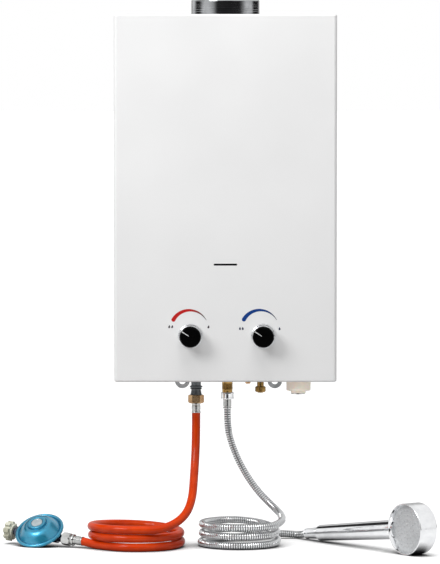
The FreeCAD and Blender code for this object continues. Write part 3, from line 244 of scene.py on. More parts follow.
studio = {
    "floorSize": 60.0, "floorTone": "#C4C4C4", "floorBounce": "#A2A2A2", "paintedShadeTone": "#2A2A2E",
    "floorGlow": 0.62, "contactReach": 0.035, "contactShade": (0.25, 0.85), "worldLight": 0.24,
    "metalSurround": 1.0, "backdrop": 0.50, "darkest": 0.03, "mirroredFloorLoss": 0.35, "behindLoss": 0.8,
}

# what bright metal sees around it: each pair runs from where a region starts to where it is full
seenAt = {
    "sweepEnd": (-1.0, -1.5), "sweepSides": (0.45, 0.28),
    "farFloor": (-2.4, -3.2), "farRight": (1.2, 0.5), "farLeft": (-4.0, -1.2), "floorBehind": (0.15, 0.9),
    "darkRoom": (-0.80, -0.93), "darkRoomHeight": (0.52, 0.38),
    "gap": [("Z", 0.465, 0.50), ("Z", 0.80, 0.74), ("Y", 0.05, 0.25), ("X", 0.10, 0.0)],
    "bands": [(-0.95, -0.45, 0.80, 1.45), (-2.35, -1.95, -1.75, -1.3), (1.65, 2.0, 2.45, 2.8)],
    "bandHeight": (0.12, 0.06), "backdropEdge": (0.72, 0.96),
}

lamps = {
    "keyLamp": {"place": (-1350, -1500, 900), "aim": (500, 0, 300), "size": 1.1, "power": 32,
                "mirrored": True},
    "topLamp": {"place": (100, -980, 460), "aim": (0, -140, 0), "size": 0.6, "power": 2.3, "mirrored": False},
    "fillLamp": {"place": (1900, -2600, -100), "aim": (0, -100, -400), "size": 2.0, "power": 12,
                 "mirrored": False},
}
overhead = {"strength": 1.9, "angle": 50, "lean": (4, -3)}


def alongAxis(tree, axis):
    # how far along one axis of the object a point lies
    place = addNode(tree, "TexCoord").outputs["Object"]
    return addNode(tree, "SeparateXYZ", links={0: place}).outputs[axis]


def combined(tree, operation, shares):
    # several shares made one, such as their product or the greatest of them
    whole = shares[0]
    for share in shares[1:]:
        given = [{1: share}, {}] if isinstance(share, float) else [{}, {1: share}]
        whole = addNode(tree, "Math", {"operation": operation, **given[0]}, {0: whole, **given[1]}).outputs[0]
    return whole


def between(tree, limits):
    # 1 where every value has gone from its first limit past its second
    reached = []
    for value, start, end in limits:
        ramp = {"From Min": start, "From Max": end, "interpolation_type": "SMOOTHSTEP"}
        reached.append(addNode(tree, "MapRange", ramp, {"Value": value}).outputs["Result"])
    return combined(tree, "MULTIPLY", reached)


def addFloor():
    bm = bmesh.new()
    bmesh.ops.create_grid(bm, x_segments=2, y_segments=2, size=studio["floorSize"] / 2)
    material, tree, shader = newMaterial("matteStudioFloor", studio["floorTone"],
                                         {"Roughness": 0.9, "Specular IOR Level": 0.1})
    rays = addNode(tree, "LightPath").outputs
    mirror = rays["Is Glossy Ray"]
    seen = combined(tree, "MAXIMUM", [rays["Is Camera Ray"], mirror, rays["Is Transmission Ray"]])
    # painted contact shadow: ambient occlusion darkens the white floor's colour, and cuts its glow, close to
    # where things stand on it
    shade = addNode(tree, "AmbientOcclusion", {"samples": 8, "Distance": studio["contactReach"]})
    darkest, clear = studio["contactShade"]
    bare = addNode(tree, "MapRange", {"From Min": darkest, "From Max": clear},
                   {"Value": shade.outputs["AO"]}).outputs["Result"]
    tone = addNode(tree, "Mix", {"data_type": "RGBA", "A": linear(studio["paintedShadeTone"]),
                                 "B": linear(studio["floorTone"])}, {"Factor": bare})
    # light that the floor throws back on the object is weaker than what the eye sees
    both = addNode(tree, "Mix", {"data_type": "RGBA", "A": linear(studio["floorBounce"])},
                   {"Factor": seen, "B": tone.outputs["Result"]})
    # the sweep ends in front and far off, and metal that looks there mirrors the dark room
    depth = alongAxis(tree, "Y")
    slope = combined(tree, "DIVIDE", [alongAxis(tree, "X"), depth])
    aside = addNode(tree, "Math", {"operation": "ABSOLUTE"}, {0: slope}).outputs[0]
    inMirror = (mirror, 0.4, 0.6)
    near = between(tree, [(depth, *seenAt["sweepEnd"]), (aside, *seenAt["sweepSides"]), inMirror])
    far = between(tree, [(depth, *seenAt["farFloor"]), (slope, *seenAt["farRight"]),
                         (slope, *seenAt["farLeft"]), inMirror])
    ended = combined(tree, "MAXIMUM", [near, far])
    room = addNode(tree, "Mix", {"data_type": "RGBA", "B": linear(studio["paintedShadeTone"])},
                   {"Factor": ended, "A": both.outputs["Result"]})
    # mirrored, it is dimmer behind the object, which draws the edges of bright metal, and nowhere white
    behind = between(tree, [(depth, *seenAt["floorBehind"]), inMirror])
    dimmed = combined(tree, "MULTIPLY", [behind, studio["behindLoss"]])
    lower = combined(tree, "MULTIPLY", [mirror, studio["mirroredFloorLoss"]])
    loss = combined(tree, "MAXIMUM", [ended, dimmed, lower])
    left = addNode(tree, "MapRange", {"To Min": 1.0, "To Max": 0.0}, {"Value": loss})
    shine = combined(tree, "MULTIPLY", [seen, studio["floorGlow"], bare, left.outputs["Result"]])
    tree.links.new(room.outputs["Result"], shader.inputs["Base Color"])
    shader.inputs["Emission Color"].default_value = linear("#FFFFFF")
    tree.links.new(shine, shader.inputs["Emission Strength"])
    floor = addObject("floor", asMesh("floor", bm))
    floor.data.materials.append(material)
    floor.location = (0, 0, floorHeight)


def addWorld():
    world = bpy.data.worlds.new("studio")
    bpy.context.scene.world = world
    world.use_nodes = True
    tree = world.node_tree
    tree.nodes.clear()
    rays = addNode(tree, "LightPath").outputs
    direction = addNode(tree, "TexCoord").outputs["Generated"]
    way = addNode(tree, "SeparateXYZ", links={0: direction}).outputs
    height = addNode(tree, "Math", {"operation": "ABSOLUTE"}, {0: way["Z"]}).outputs[0]
    # bright metal mirrors a dark room behind the camera in its middle
    dark = [between(tree, [(way["Y"], *seenAt["darkRoom"]), (height, *seenAt["darkRoomHeight"])])]
    # and a low dark band round the room, with soft boxes standing in it left and right
    front = combined(tree, "MULTIPLY", [way["Y"], -1.0])
    around = combined(tree, "ARCTAN2", [way["X"], front])
    for rise, full, fall, end in seenAt["bands"]:
        dark.append(between(tree, [(around, rise, full), (around, end, fall),
                                   (height, *seenAt["bandHeight"])]))
    # and a dark gap between the backdrop and the soft box overhead
    dark.append(between(tree, [(way[axis], start, end) for axis, start, end in seenAt["gap"]]))
    backdrop = between(tree, [(way["Y"], *seenAt["backdropEdge"])])
    white = addNode(tree, "MapRange", {"To Min": studio["metalSurround"], "To Max": studio["backdrop"]},
                    {"Value": backdrop}).outputs["Result"]
    metal = addNode(tree, "MapRange", {"To Max": studio["darkest"]},
                    {"Value": combined(tree, "MAXIMUM", dark), "To Min": white})
    soft = addNode(tree, "Mix", {"data_type": "FLOAT", "A": studio["worldLight"]},
                   {"Factor": rays["Is Glossy Ray"], "B": metal.outputs["Result"]})
    clear = combined(tree, "MAXIMUM", [rays["Is Camera Ray"], rays["Is Transmission Ray"]])
    strength = addNode(tree, "Mix", {"data_type": "FLOAT", "B": 1.0},
                       {"Factor": clear, "A": soft.outputs["Result"]})
    light = addNode(tree, "Background", {"Color": linear("#FFFFFF")},
                    {"Strength": strength.outputs["Result"]})
    addNode(tree, "OutputWorld", links={"Surface": light.outputs[0]})


def addLamps():
    for name, lamp in lamps.items():
        data = bpy.data.lights.new(name, "AREA")
        data.size = lamp["size"]
        data.energy = lamp["power"]
        light = addObject(name, data)
        light.visible_glossy = lamp["mirrored"]
        light.location = point(*lamp["place"])
        aim = point(*lamp["aim"]) - light.location
        light.rotation_euler = aim.to_track_quat("-Z", "Y").to_euler()
    # a broad soft light from nearly straight above, left out of mirror reflections
    data = bpy.data.lights.new("overhead", "SUN")
    data.energy = overhead["strength"]
    data.angle = radians(overhead["angle"])
    above = addObject("overhead", data)
    above.rotation_euler = (radians(overhead["lean"][0]), radians(overhead["lean"][1]), 0)
    above.visible_glossy = False


addCamera()
addFloor()
addWorld()
addLamps()
bpy.context.scene.view_settings.view_transform = "Standard"
print("studio ready")


def surfaceNoise(tree, sizeMm, detail=2, stretch=(1, 1, 1)):
    # noise with features of about that size, in the object's own space
    place = addNode(tree, "TexCoord").outputs["Object"]
    scaled = addNode(tree, "Mapping", {"Scale": stretch}, {"Vector": place})
    return addNode(tree, "TexNoise", {"Scale": 1 / (sizeMm * mm), "Detail": detail},
                   {"Vector": scaled.outputs[0]}).outputs[0]


def varyRoughness(tree, shader, pattern, low, high, start=0.3, end=0.7):
    spread = addNode(tree, "MapRange", {"From Min": start, "From Max": end, "To Min": low, "To Max": high},
                     {"Value": pattern})
    tree.links.new(spread.outputs["Result"], shader.inputs["Roughness"])


def varyColour(tree, shader, pattern, first, second, low=0.35, high=0.65):
    ramp = addNode(tree, "ValToRGB", links={"Fac": pattern})
    for stop, place, colour in zip(ramp.color_ramp.elements, (low, high), (first, second)):
        stop.position = place
        stop.color = linear(colour)
    tree.links.new(ramp.outputs["Color"], shader.inputs["Base Color"])


def raiseSurface(tree, shader, pattern, depthMm, strength):
    bump = addNode(tree, "Bump", {"Strength": strength, "Distance": depthMm * mm}, {"Height": pattern})
    tree.links.new(bump.outputs["Normal"], shader.inputs["Normal"])


def powderCoatedSteel():
    # white powder coat on sheet steel: satin, with a faint orange peel of about 2 mm
    sockets = {"IOR": 1.5, "Specular IOR Level": 0.4}
    material, tree, shader = newMaterial("whitePowderCoat", "#EBEBEB", sockets)
    varyRoughness(tree, shader, surfaceNoise(tree, 70, 3), 0.36, 0.46)
    varyColour(tree, shader, surfaceNoise(tree, 160), "#E9E9E9", "#EDEDED")
    raiseSurface(tree, shader, surfaceNoise(tree, 2.2), 0.012, 0.35)
    return material


def galvanisedSheet():
    # hot-dip zinc: flat spangles about 7 mm across, each with its own sheen
    material, tree, shader = newMaterial("galvanisedSheet", "#B4B6B8", {"Metallic": 1.0})
    place = addNode(tree, "TexCoord").outputs["Object"]
    spangle = addNode(tree, "TexVoronoi", {"Scale": 1 / (7 * mm)}, {"Vector": place}).outputs["Color"]
    tone = addNode(tree, "SeparateColor", links={0: spangle}).outputs[0]
    varyRoughness(tree, shader, tone, 0.36, 0.5)
    varyColour(tree, shader, tone, "#AAADAF", "#BFC1C3", 0.1, 0.9)
    return material


def turnedMetal(name, dark, light, lineMm, roughness, axis="Z", depthMm=0.02):
    # metal turned on a lathe or drawn: fine rings across the axis, and a slow drift of tone
    material, tree, shader = newMaterial(name, light, {"Metallic": 1.0})
    lines = addNode(tree, "TexNoise", {"noise_dimensions": "1D", "Scale": 1 / (lineMm * mm), "Detail": 3},
                    {"W": alongAxis(tree, axis)}).outputs[0]
    varyRoughness(tree, shader, lines, *roughness)
    varyColour(tree, shader, surfaceNoise(tree, 14, 3), dark, light)
    raiseSurface(tree, shader, lines, depthMm, 0.5)
    return material


def castMetal(name, dark, light, gritMm, roughness, metallic=1.0, depthMm=0.05):
    # a sand or die casting: matt, with a fine grit
    material, tree, shader = newMaterial(name, light, {"Metallic": metallic})
    varyRoughness(tree, shader, surfaceNoise(tree, 9, 3), *roughness)
    varyColour(tree, shader, surfaceNoise(tree, 12, 4), dark, light)
    raiseSurface(tree, shader, surfaceNoise(tree, gritMm), depthMm, 0.6)
    return material


def platedMetal(name, dark, light, roughness):
    # nickel or chromium plate: mirror bright, with faint handling smears
    material, tree, shader = newMaterial(name, light, {"Metallic": 1.0})
    smear = surfaceNoise(tree, 22, 4, (1, 1, 1.8))
    varyRoughness(tree, shader, smear, *roughness)
    varyColour(tree, shader, smear, dark, light, 0.3, 0.7)
    return material


def mouldedPlastic(name, dark, light, roughness, grainMm=0.9, depthMm=0.01, coat=0.0, gloss=0.5):
    # injection-moulded plastic: even colour, with a fine texture from the mould
    sockets = {"IOR": 1.5, "Coat Weight": coat, "Coat Roughness": 0.08, "Specular IOR Level": gloss}
    material, tree, shader = newMaterial(name, light, sockets)
    varyRoughness(tree, shader, surfaceNoise(tree, 11, 3), *roughness)
    varyColour(tree, shader, surfaceNoise(tree, 25, 3), dark, light)
    raiseSurface(tree, shader, surfaceNoise(tree, grainMm), depthMm, 0.4)
    return material


def ivoryPlasticWithPaintedGlow():
    # moulded ivory ABS: matt and creamy, with a thin wall that scatters some light through, and a faint
    # painted glow
    material = mouldedPlastic("ivoryAbs", "#F0E7DA", "#F8F1E4", (0.35, 0.45))
    inputs = material.node_tree.nodes["Principled BSDF"].inputs
    inputs["Subsurface Weight"].default_value = 0.35
    inputs["Subsurface Scale"].default_value = 0.006
    # painted glow: a faint emission that lightens the cap where it lies in shade under the casing
    inputs["Emission Color"].default_value = linear("#F2E4D2")
    inputs["Emission Strength"].default_value = 0.19
    return material


def lacqueredSteel(name, dark, light, metallic):
    # transparent lacquer over bright steel: a metallic colour under a clear wet gloss
    material, tree, shader = newMaterial(name, light, {"Metallic": metallic, "Coat Weight": 1.0,
                                                       "Coat Roughness": 0.05, "Coat IOR": 1.5})
    flake = surfaceNoise(tree, 0.8)
    varyRoughness(tree, shader, flake, 0.32, 0.42)
    varyColour(tree, shader, flake, dark, light, 0.3, 0.7)
    return material


def fadingPrint(name, strong, weak, left, right):
    # screen print that fades to dark grey from its thick end to its thin end
    sockets = {"Roughness": 0.42, "IOR": 1.5, "Specular IOR Level": 0.2}
    material, tree, shader = newMaterial(name, strong, sockets)
    share = addNode(tree, "MapRange", {"From Min": left * mm, "From Max": right * mm},
                    {"Value": alongAxis(tree, "X")})
    varyColour(tree, shader, share.outputs["Result"], strong, weak, 0.45, 0.86)
    return material


enamel = powderCoatedSteel()
zincSheet = galvanisedSheet()
collarSteel = turnedMetal("spunStainless", "#9C9EA0", "#B4B6B8", 2.6, (0.05, 0.10), depthMm=0.15)
stainless = turnedMetal("drawnStainless", "#A9ABAC", "#C6C7C8", 1.1, (0.25, 0.4), "Y")
copper = turnedMetal("drawnCopper", "#8F4E34", "#C87E58", 2.5, (0.25, 0.45))
brass = turnedMetal("turnedBrass", "#86683A", "#BD9A5E", 0.8, (0.16, 0.28))
roseBrass = turnedMetal("forgedBrass", "#B68A5E", "#E0BA8C", 1.0, (0.16, 0.28))
castAluminium = castMetal("dieCastAluminium", "#8F9193", "#B4B6B8", 0.7, (0.42, 0.6))
phosphateSteel = castMetal("phosphatedSteel", "#55585A", "#75787A", 0.6, (0.3, 0.42), 0.8, 0.02)
nickel = platedMetal("nickelPlate", "#B4B5B4", "#D3D3D1", (0.12, 0.2))
chrome = platedMetal("chromePlate", "#E4E5E7", "#F4F5F6", (0.03, 0.07))
satinChrome = platedMetal("satinChromePlate", "#D6D7D9", "#E4E5E6", (0.24, 0.32))
blackGloss = mouldedPlastic("polishedBlackAbs", "#030303", "#060606", (0.1, 0.16), 0.5, 0.002, gloss=0.2)
ivoryAbs = ivoryPlasticWithPaintedGlow()
blackNylon = mouldedPlastic("blackNylon", "#101112", "#1B1C1E", (0.45, 0.6))
glazedCeramic = mouldedPlastic("glazedCeramic", "#DFDBD0", "#F0ECE2", (0.1, 0.2), coat=0.4)
blackRubber = mouldedPlastic("blackRubber", "#0D0D0D", "#171717", (0.6, 0.75), 0.6, 0.02)
cellWrap = mouldedPlastic("batterySleeve", "#14304A", "#1D4468", (0.2, 0.3), coat=0.3)
orangePvc = mouldedPlastic("orangeHosePvc", "#C93600", "#D84004", (0.3, 0.4), 1.4, 0.01, coat=0.3, gloss=0.05)
blueLacquer = lacqueredSteel("blueLacquer", "#1A7495", "#3BA6C8", metallic=0.9)
navyLacquer = lacqueredSteel("navyLacquer", "#0E1B33", "#182A4A", metallic=0.4)
paleCasting = castMetal("zincAlloyCasting", "#B4B3A0", "#D6D6C6", 0.8, (0.4, 0.55), 0.15, 0.08)
discMetal = turnedMetal("brushedDisc", "#A9B5BA", "#C6D0D4", 0.7, (0.25, 0.4))
frostedFace = mouldedPlastic("frostedGreyFace", "#C0C2C4", "#CED0D2", (0.24, 0.32), 0.7, 0.006, gloss=0.8)
redPrint = fadingPrint("redPrint", "#BC1F1C", "#33262A", -75, -25)
bluePrint = fadingPrint("bluePrint", "#0F3C82", "#1E2636", 33, 83)
darkPrint = mouldedPlastic("darkPrint", "#2C1F2C", "#38273A", (0.4, 0.5), gloss=0.2)
navyPrint = mouldedPlastic("navyPrint", "#141A38", "#1C2446", (0.4, 0.5), gloss=0.2)
# painted shade: near-black for the dark inside of the casing seen through the view slot
slotShadeBlack = mouldedPlastic("slotPaintedShadeBlack", "#050505", "#0B0B0B", (0.6, 0.8), gloss=0.1)
pointerPrint = mouldedPlastic("palePointer", "#C9CBCB", "#DADBDB", (0.4, 0.5))
print("materials ready")


gasHose = {
    "diameter": 12.5, "ring": 2.5, "groove": 0, "around": 24, "sharp": 60,
    "fitting": "fitting", "replaces": ["gas_hose", "gas_hose_coil"],
    "carries": ["hoseFerruleTop", "hoseFerruleEnd", "gasHoseNut", "regulatorDome", "regulatorBase",
                "regulatorNut", "regulatorWheel", "regulatorDisc", "regulator_diaphragm"],
    "way": [(-43.8, -80, -555.8), (-43.8, -80, -588), (-45, -89, -622), (-47, -108, -653), (-49, -131, -677),
            (-55, -152, -695), (-66, -168, -707), (-81, -179, -715), (-101, -184, -720.75)],
    "coil": {"x": -133, "y": -116, "radii": (68, 67, 68.4), "drop": 13, "start": -64.8, "turns": 2.16},
    "end": [(-182.9, -155.4, -746.75), (-195.9, -142.5, -746.55), (-211.77, -134.05, -743.11)],
}

showerHose = {
    "diameter": 11.2, "ridge": 3.4, "groove": 0.58, "around": 14, "sharp": 27, "leadIn": 16,
    "fitting": "connector", "replaces": ["shower_hose", "shower_hose_coil", "shower_hose_end"],
    "carries": ["showerFerrule", "showerNut", "handsetNut"],
    "way": [(3, -50, -551.7), (3, -50, -581), (9, -51, -604), (19, -54, -629), (33, -60, -654),
            (50, -67, -677), (69, -76, -695), (82, -90, -706), (86, -108, -713), (81, -126, -717),
            (69, -141, -720.2)],
    "coil": {"x": 21, "y": -102, "radii": (56.4, 56.4, 58.2), "drop": 13.6, "start": -39.1, "turns": 2.6},
    "end": [(22, -44, -746.8), (42, -36, -746.5), (62, -22, -746), (81, -11, -745.5), (100, -11, -746.4)],
}


def coilPoints(hose):
    # level turns that step down to the next layer where they pass behind
    coil = hose["coil"]
    steps = 16
    lowest = len(coil["radii"]) - 1
    top = floorHeight / mm + hose["diameter"] / 2 + lowest * coil["drop"]
    level = coil["turns"] % 1
    points = []
    for k in range(1, int(coil["turns"] * steps) + 1):
        turn = k / steps
        layer = int(turn)
        share = max(0.0, turn - layer - level) / (1 - level)
        step = share * share * (3 - 2 * share)
        radius = coil["radii"][layer]
        if layer < lowest:
            radius += (coil["radii"][layer + 1] - radius) * step
        angle = radians(coil["start"] - 360 * turn)
        points.append((coil["x"] + radius * cos(angle), coil["y"] + radius * sin(angle),
                       top - coil["drop"] * (layer + step)))
    return points


def centreLine(name, points):
    # the smooth line that the hose follows, drawn from its guide points
    data = bpy.data.curves.new(name, "CURVE")
    data.dimensions = "3D"
    data.resolution_u = 6
    spline = data.splines.new("NURBS")
    spline.points.add(len(points) - 1)
    for place, at in zip(spline.points, points):
        place.co = (*(Vector(at) * mm), 1)
    spline.order_u = 3
    spline.use_endpoint_u = True
    guide = addObject(name, data)
    bpy.context.view_layer.update()
    mesh = bpy.data.meshes.new_from_object(guide.evaluated_get(bpy.context.evaluated_depsgraph_get()))
    line = [v.co.copy() for v in mesh.vertices]
    bpy.data.meshes.remove(mesh)
    bpy.data.objects.remove(guide)
    return line


def evenPoints(line, spacing):
    made = [line[0]]
    spare = 0.0
    for a, b in zip(line, line[1:]):
        run = (b - a).length
        at = spacing - spare
        while at <= run:
            made.append(a.lerp(b, at / run))
            at += spacing
        spare = run - (at - spacing)
    return made


def tube(line, radius, step, groove, around):
    # a ring at every step: two stand high and the next two lie in the groove, unless its depth is 0
    stations = evenPoints(line, step)
    stations[-1] = line[-1]
    bm = bmesh.new()
    bmesh.ops.create_grid(bm, x_segments=len(stations) - 1, y_segments=around, size=0.5)
    layer = bm.verts.layers.float.new("strip")
    normal = Vector((0, -1, 0))
    rings = []
    for k, here in enumerate(stations):
        ahead = (stations[min(k + 1, len(stations) - 1)] - stations[max(k - 1, 0)]).normalized()
        normal = (normal - ahead * normal.dot(ahead)).normalized()
        rings.append((here, normal.copy(), ahead.cross(normal)))
    for vert in bm.verts:
        station = round((vert.co.x + 0.5) * (len(stations) - 1))
        angle = 2 * pi * (vert.co.y + 0.5)
        here, side, other = rings[station]
        low = station % 4 > 1
        reach = radius - (groove if low else 0.0)
        vert.co = here + (side * cos(angle) + other * sin(angle)) * reach
        vert[layer] = 1.0 if low else 0.0
    bmesh.ops.remove_doubles(bm, verts=bm.verts[:], dist=0.01 * mm)
    bmesh.ops.recalc_face_normals(bm, faces=bm.faces[:])
    return bm


def hoseSteel():
    # bright stainless strip, dull in the grooves between its turns, where painted shade darkens its colour
    material, tree, shader = newMaterial("interlockedStainless", "#D4D5D6", {"Metallic": 1.0})
    strip = addNode(tree, "Attribute", {"attribute_name": "strip"}).outputs["Fac"]
    # painted shade: the grooves are given a much darker colour than the strip's crests
    varyColour(tree, shader, strip, "#EEEFF0", "#707274", 0.25, 0.95)
    varyRoughness(tree, shader, strip, 0.12, 0.45, 0.0, 1.0)
    return material


handset = {
    "tail": (144, -52, 13), "heading": -51.2, "length": 211, "headRadius": 38, "headDepth": 33,
    "facing": 217.5, "edge": 4, "rim": 1, "faceRadius": 33.3, "recess": 6.4, "rings": 4, "nozzle": 0.9,
    "nozzleHeight": 1, "nutLength": 32, "button": 2.6, "buttonAt": 0.83,
}
handleRise = asin((handset["headRadius"] - handset["tail"][2]) / handset["length"])
handleTurn = radians(handset["heading"])
handleWay = Vector((cos(handleTurn) * cos(handleRise), sin(handleTurn) * cos(handleRise),
                    sin(handleRise)))
handleTail = point(*handset["tail"]) + Vector((0, 0, floorHeight))


def layHose(name, hose, step, material, leadIn=()):
    # one hose from its fitting down to the floor, round its coil and out to its end
    line = centreLine(name + "Guide", hose["way"] + coilPoints(hose) + hose["end"] + list(leadIn))
    shape = tube(line, hose["diameter"] * mm / 2, step, hose["groove"] * mm, hose["around"])
    piece = addPiece(name, shape, material, standsFor=hose["replaces"], limit=hose["sharp"])
    evenPoints(line, 4 * mm) + [line[-1]]


def addHoses():
    layHose("gasHose", gasHose, gasHose["ring"] * mm, orangePvc)
    # the shower hose leaves the floor on its last stretch, to meet the handset's nut
    nutEnd = handleTail - handleWay * (handset["nutLength"] * mm)
    before = (nutEnd - handleWay * showerHose["leadIn"] * mm) / mm
    before.z = floorHeight / mm + showerHose["diameter"] / 2
    layHose("showerHose", showerHose, showerHose["ridge"] * mm / 4, hoseSteel(), [before, nutEnd / mm])


prints = {
    "gas": {"x": -54.4, "z": -425.6, "marks": [(-83.4, -422.4), (-79, -422.4), (-25.2, -422.7)]},
    "water": {"x": 50, "z": -425.3, "marks": [(21.6, -425.1), (25.7, -425.1), (80.3, -425.4)]},
    "radius": 29.2, "from": 156, "to": 26, "thick": 6.1, "thin": 0.5, "taper": 1.3, "proud": 0.06,
    "ink": 0.03, "markWidth": 3, "markHeight": 2.4,
}
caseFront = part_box("front_cover")[0].y / mm


def flatPrint(name, bm, material):
    # a printed shape on the front, as thick as its ink
    bmesh.ops.recalc_face_normals(bm, faces=bm.faces[:])
    bmesh.ops.solidify(bm, geom=bm.faces[:], thickness=prints["ink"] * mm)
    bmesh.ops.recalc_face_normals(bm, faces=bm.faces[:])
    return addPiece(name, bm, material)


def arcPrint(name, centre, material):
    # a crescent: round and thick on the left, running out to a point on the right
    bm = bmesh.new()
    steps = 90
    crowding = 1.25    # steps lie closer together round the thick end
    sweep = prints["from"] - prints["to"]
    cap = prints["thick"] / 2
    previous = None
    for k in range(steps + 1):
        share = (k / steps) ** crowding
        width = prints["thick"] + (prints["thin"] - prints["thick"]) * share ** prints["taper"]
        travel = radians(sweep * share) * prints["radius"]
        half = width / 2
        if travel < cap:
            half *= sqrt(max(0, 1 - (1 - travel / cap) ** 2)) + 0.001
        angle = radians(prints["from"] - sweep * share)
        middle = prints["radius"] - width / 2
        pair = []
        for r in (middle - half, middle + half):
            pair.append(bm.verts.new(point(centre["x"] + r * cos(angle), caseFront - prints["proud"],
                                           centre["z"] + r * sin(angle))))
        if previous:
            bm.faces.new((previous[0], previous[1], pair[1], pair[0]))
        previous = pair
    return flatPrint(name, bm, material)


def markPrint(name, places, material, lean):
    # small flames (leaning tips) or drops
    bm = bmesh.new()
    for x, z in places:
        ring = bmesh.ops.create_circle(bm, cap_ends=True, segments=20, radius=1)["verts"]
        for k, vert in enumerate(ring):
            t = 2 * pi * k / len(ring)
            up = cos(t)
            side = sin(t) * abs(sin(t / 2)) ** 1.4
            vert.co = point(x + side * prints["markWidth"] / 1.5 + lean * (up + 1) ** 2 * 0.2,
                            caseFront - prints["proud"], z + up * prints["markHeight"])
    return flatPrint(name, bm, material)


viewSlot = {"z": -330.5, "length": 34, "height": 3.4, "sheet": 1.02, "bars": 6, "barWidth": 0.5,
            "depth": 0.5}


def addCasing():
    smoothCopy("front_cover", enamel, "casing")
    smoothCopy("back_plate", zincSheet, "backPlate")
    arcPrint("gasArc", prints["gas"], redPrint)
    arcPrint("waterArc", prints["water"], bluePrint)
    markPrint("flameMarks", prints["gas"]["marks"], darkPrint, 1)
    markPrint("dropMarks", prints["water"]["marks"], navyPrint, 0)
    s = viewSlot
    half = s["length"] / 2
    back = caseFront + s["sheet"]
    # painted shade: a near-black plate and bars behind the view slot stand for the dark inside of the casing
    shapes = [brick((-half - 2, back, s["z"] - s["height"]),
                    (half + 2, back + s["depth"], s["z"] + s["height"]))]
    for k in range(s["bars"]):
        x = (k + 0.5) * s["length"] / s["bars"] - half
        shapes.append(brick((x - s["barWidth"] / 2, back - 0.6, s["z"] - s["height"] / 2),
                            (x + s["barWidth"] / 2, back + 0.1, s["z"] + s["height"] / 2)))
    addPiece("slotMesh", merged(shapes), slotShadeBlack)


def arcOf(x, y, radius, first, last, steps):
    # points of a round stretch, in degrees
    made = []
    for k in range(steps + 1):
        angle = radians(first + (last - first) * k / steps)
        made.append((x + radius * cos(angle), y + radius * sin(angle)))
    return made


collar = {"x": 0, "y": -70, "bead": 1.5, "wall": 1, "flange": 7.0}


def addCollar():
    low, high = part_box("flue_collar")
    base = low.z / mm
    bead = collar["bead"]
    top = high.z / mm - bead
    outer = (high.x - low.x) / 2 / mm - collar["flange"]
    inner = outer - collar["wall"]
    rim = outer + collar["flange"]
    profile = [(inner, base), (rim, base), (rim, base + 1), (outer, base + 1)]
    profile += arcOf(outer - bead, top, bead, 0, 235, 14) + [(inner, top - 1.8)]
    shape = moved(turned(profile, closed=True, steps=160), standing(collar["x"], collar["y"], 0))
    addPiece("flueCollar", shape, collarSteel, standsFor=["flue_collar"], limit=40)


knobs = {
    "radius": 16, "skirt": 18.2, "faceRadius": 15.7, "edge": 1.3, "wall": 3,
    "pointer": 147, "pointerFrom": 2.6, "pointerTo": 15, "pointerThin": 0.8, "pointerThick": 1.7,
    "pointerRound": 0.15,
}


def addKnob(name, node, body):
    low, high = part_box(node)
    middle = (low + high) / 2
    place = frameAlong(Vector((middle.x, high.y, middle.z)), (0, -1, 0), up=(1, 0, 0))
    deep = (high.y - low.y) / mm
    face = (high.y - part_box(node + "_cap")[0].y) / mm
    r = knobs["radius"]
    bore = r - knobs["wall"]
    rim = [(knobs["skirt"], 0), (knobs["skirt"], 1.8)] + arcOf(knobs["skirt"] - 1.2, 1.8, 1.2, 0, 90, 4)
    side = [(r + 0.4, 3.1), (r, 3.8), (r, deep - 2.4), (r - 0.5, deep - 2.1), (r - 0.5, deep - 1.7),
            (r, deep - 1.4), (r, deep)]
    inner = [(r - 4, deep), (r - 4, deep - 1), (3.4, deep - 1), (3.4, 12), (bore, 12), (bore, 0)]
    addPiece(name + "Body", moved(turned(rim + side + inner, closed=True), place), satinChrome, body, [node],
             limit=30)
    edge = knobs["edge"]
    f = knobs["faceRadius"]
    top = [(0, deep - 0.9), (r - 4.2, deep - 0.9), (r - 4.2, deep + 0.02), (f, deep + 0.02)]
    top += arcOf(f - edge, face - edge, edge, 0, 90, 6)
    top += [(f - 2.2, face - 0.05), (f - 3.2, face - 0.2), (0, face - 0.35)]
    addPiece(name + "Face", moved(turned(top), place), blackGloss, body, [node + "_cap"], limit=50)
    # the pointer line widens towards the rim
    start = knobs["pointerFrom"]
    span = knobs["pointerTo"] - start
    bar = brick((start, -0.5, face - 0.5), (knobs["pointerTo"], 0.5, face + 0.02))
    for vert in bar.verts:
        share = (vert.co.x / mm - start) / span
        vert.co.y *= knobs["pointerThin"] + (knobs["pointerThick"] - knobs["pointerThin"]) * share
    softenEdges(bar, knobs["pointerRound"])
    turn = Matrix.Rotation(radians(knobs["pointer"]), 4, "Z")
    addPiece(name + "Pointer", moved(bar, place @ turn), pointerPrint, body, limit=30)


def hexNut(flats, low, high, bore=0.0, chamfer=1.3, turn=0):
    # a hexagon turned down at both ends, as a bar-stock nut is
    corner = flats / sqrt(3)
    block = bmesh.new()
    bmesh.ops.create_cone(block, cap_ends=True, segments=6, radius1=corner * mm, radius2=corner * mm,
                          depth=(high - low) * mm,
                          matrix=Matrix.Translation((0, 0, (low + high) / 2 * mm))
                          @ Matrix.Rotation(radians(turn), 4, "Z"))
    barrel = [(0, low), (flats / 2 - 0.1, low), (corner + 0.1, low + chamfer), (corner + 0.1, high - chamfer),
              (flats / 2 - 0.1, high), (0, high)]
    nut = carved(block, turned(barrel), "INTERSECT")
    if bore:
        nut = carved(nut, turned([(0, low - 1), (bore, low - 1), (bore, high + 1), (0, high + 1)], steps=48))
    return nut


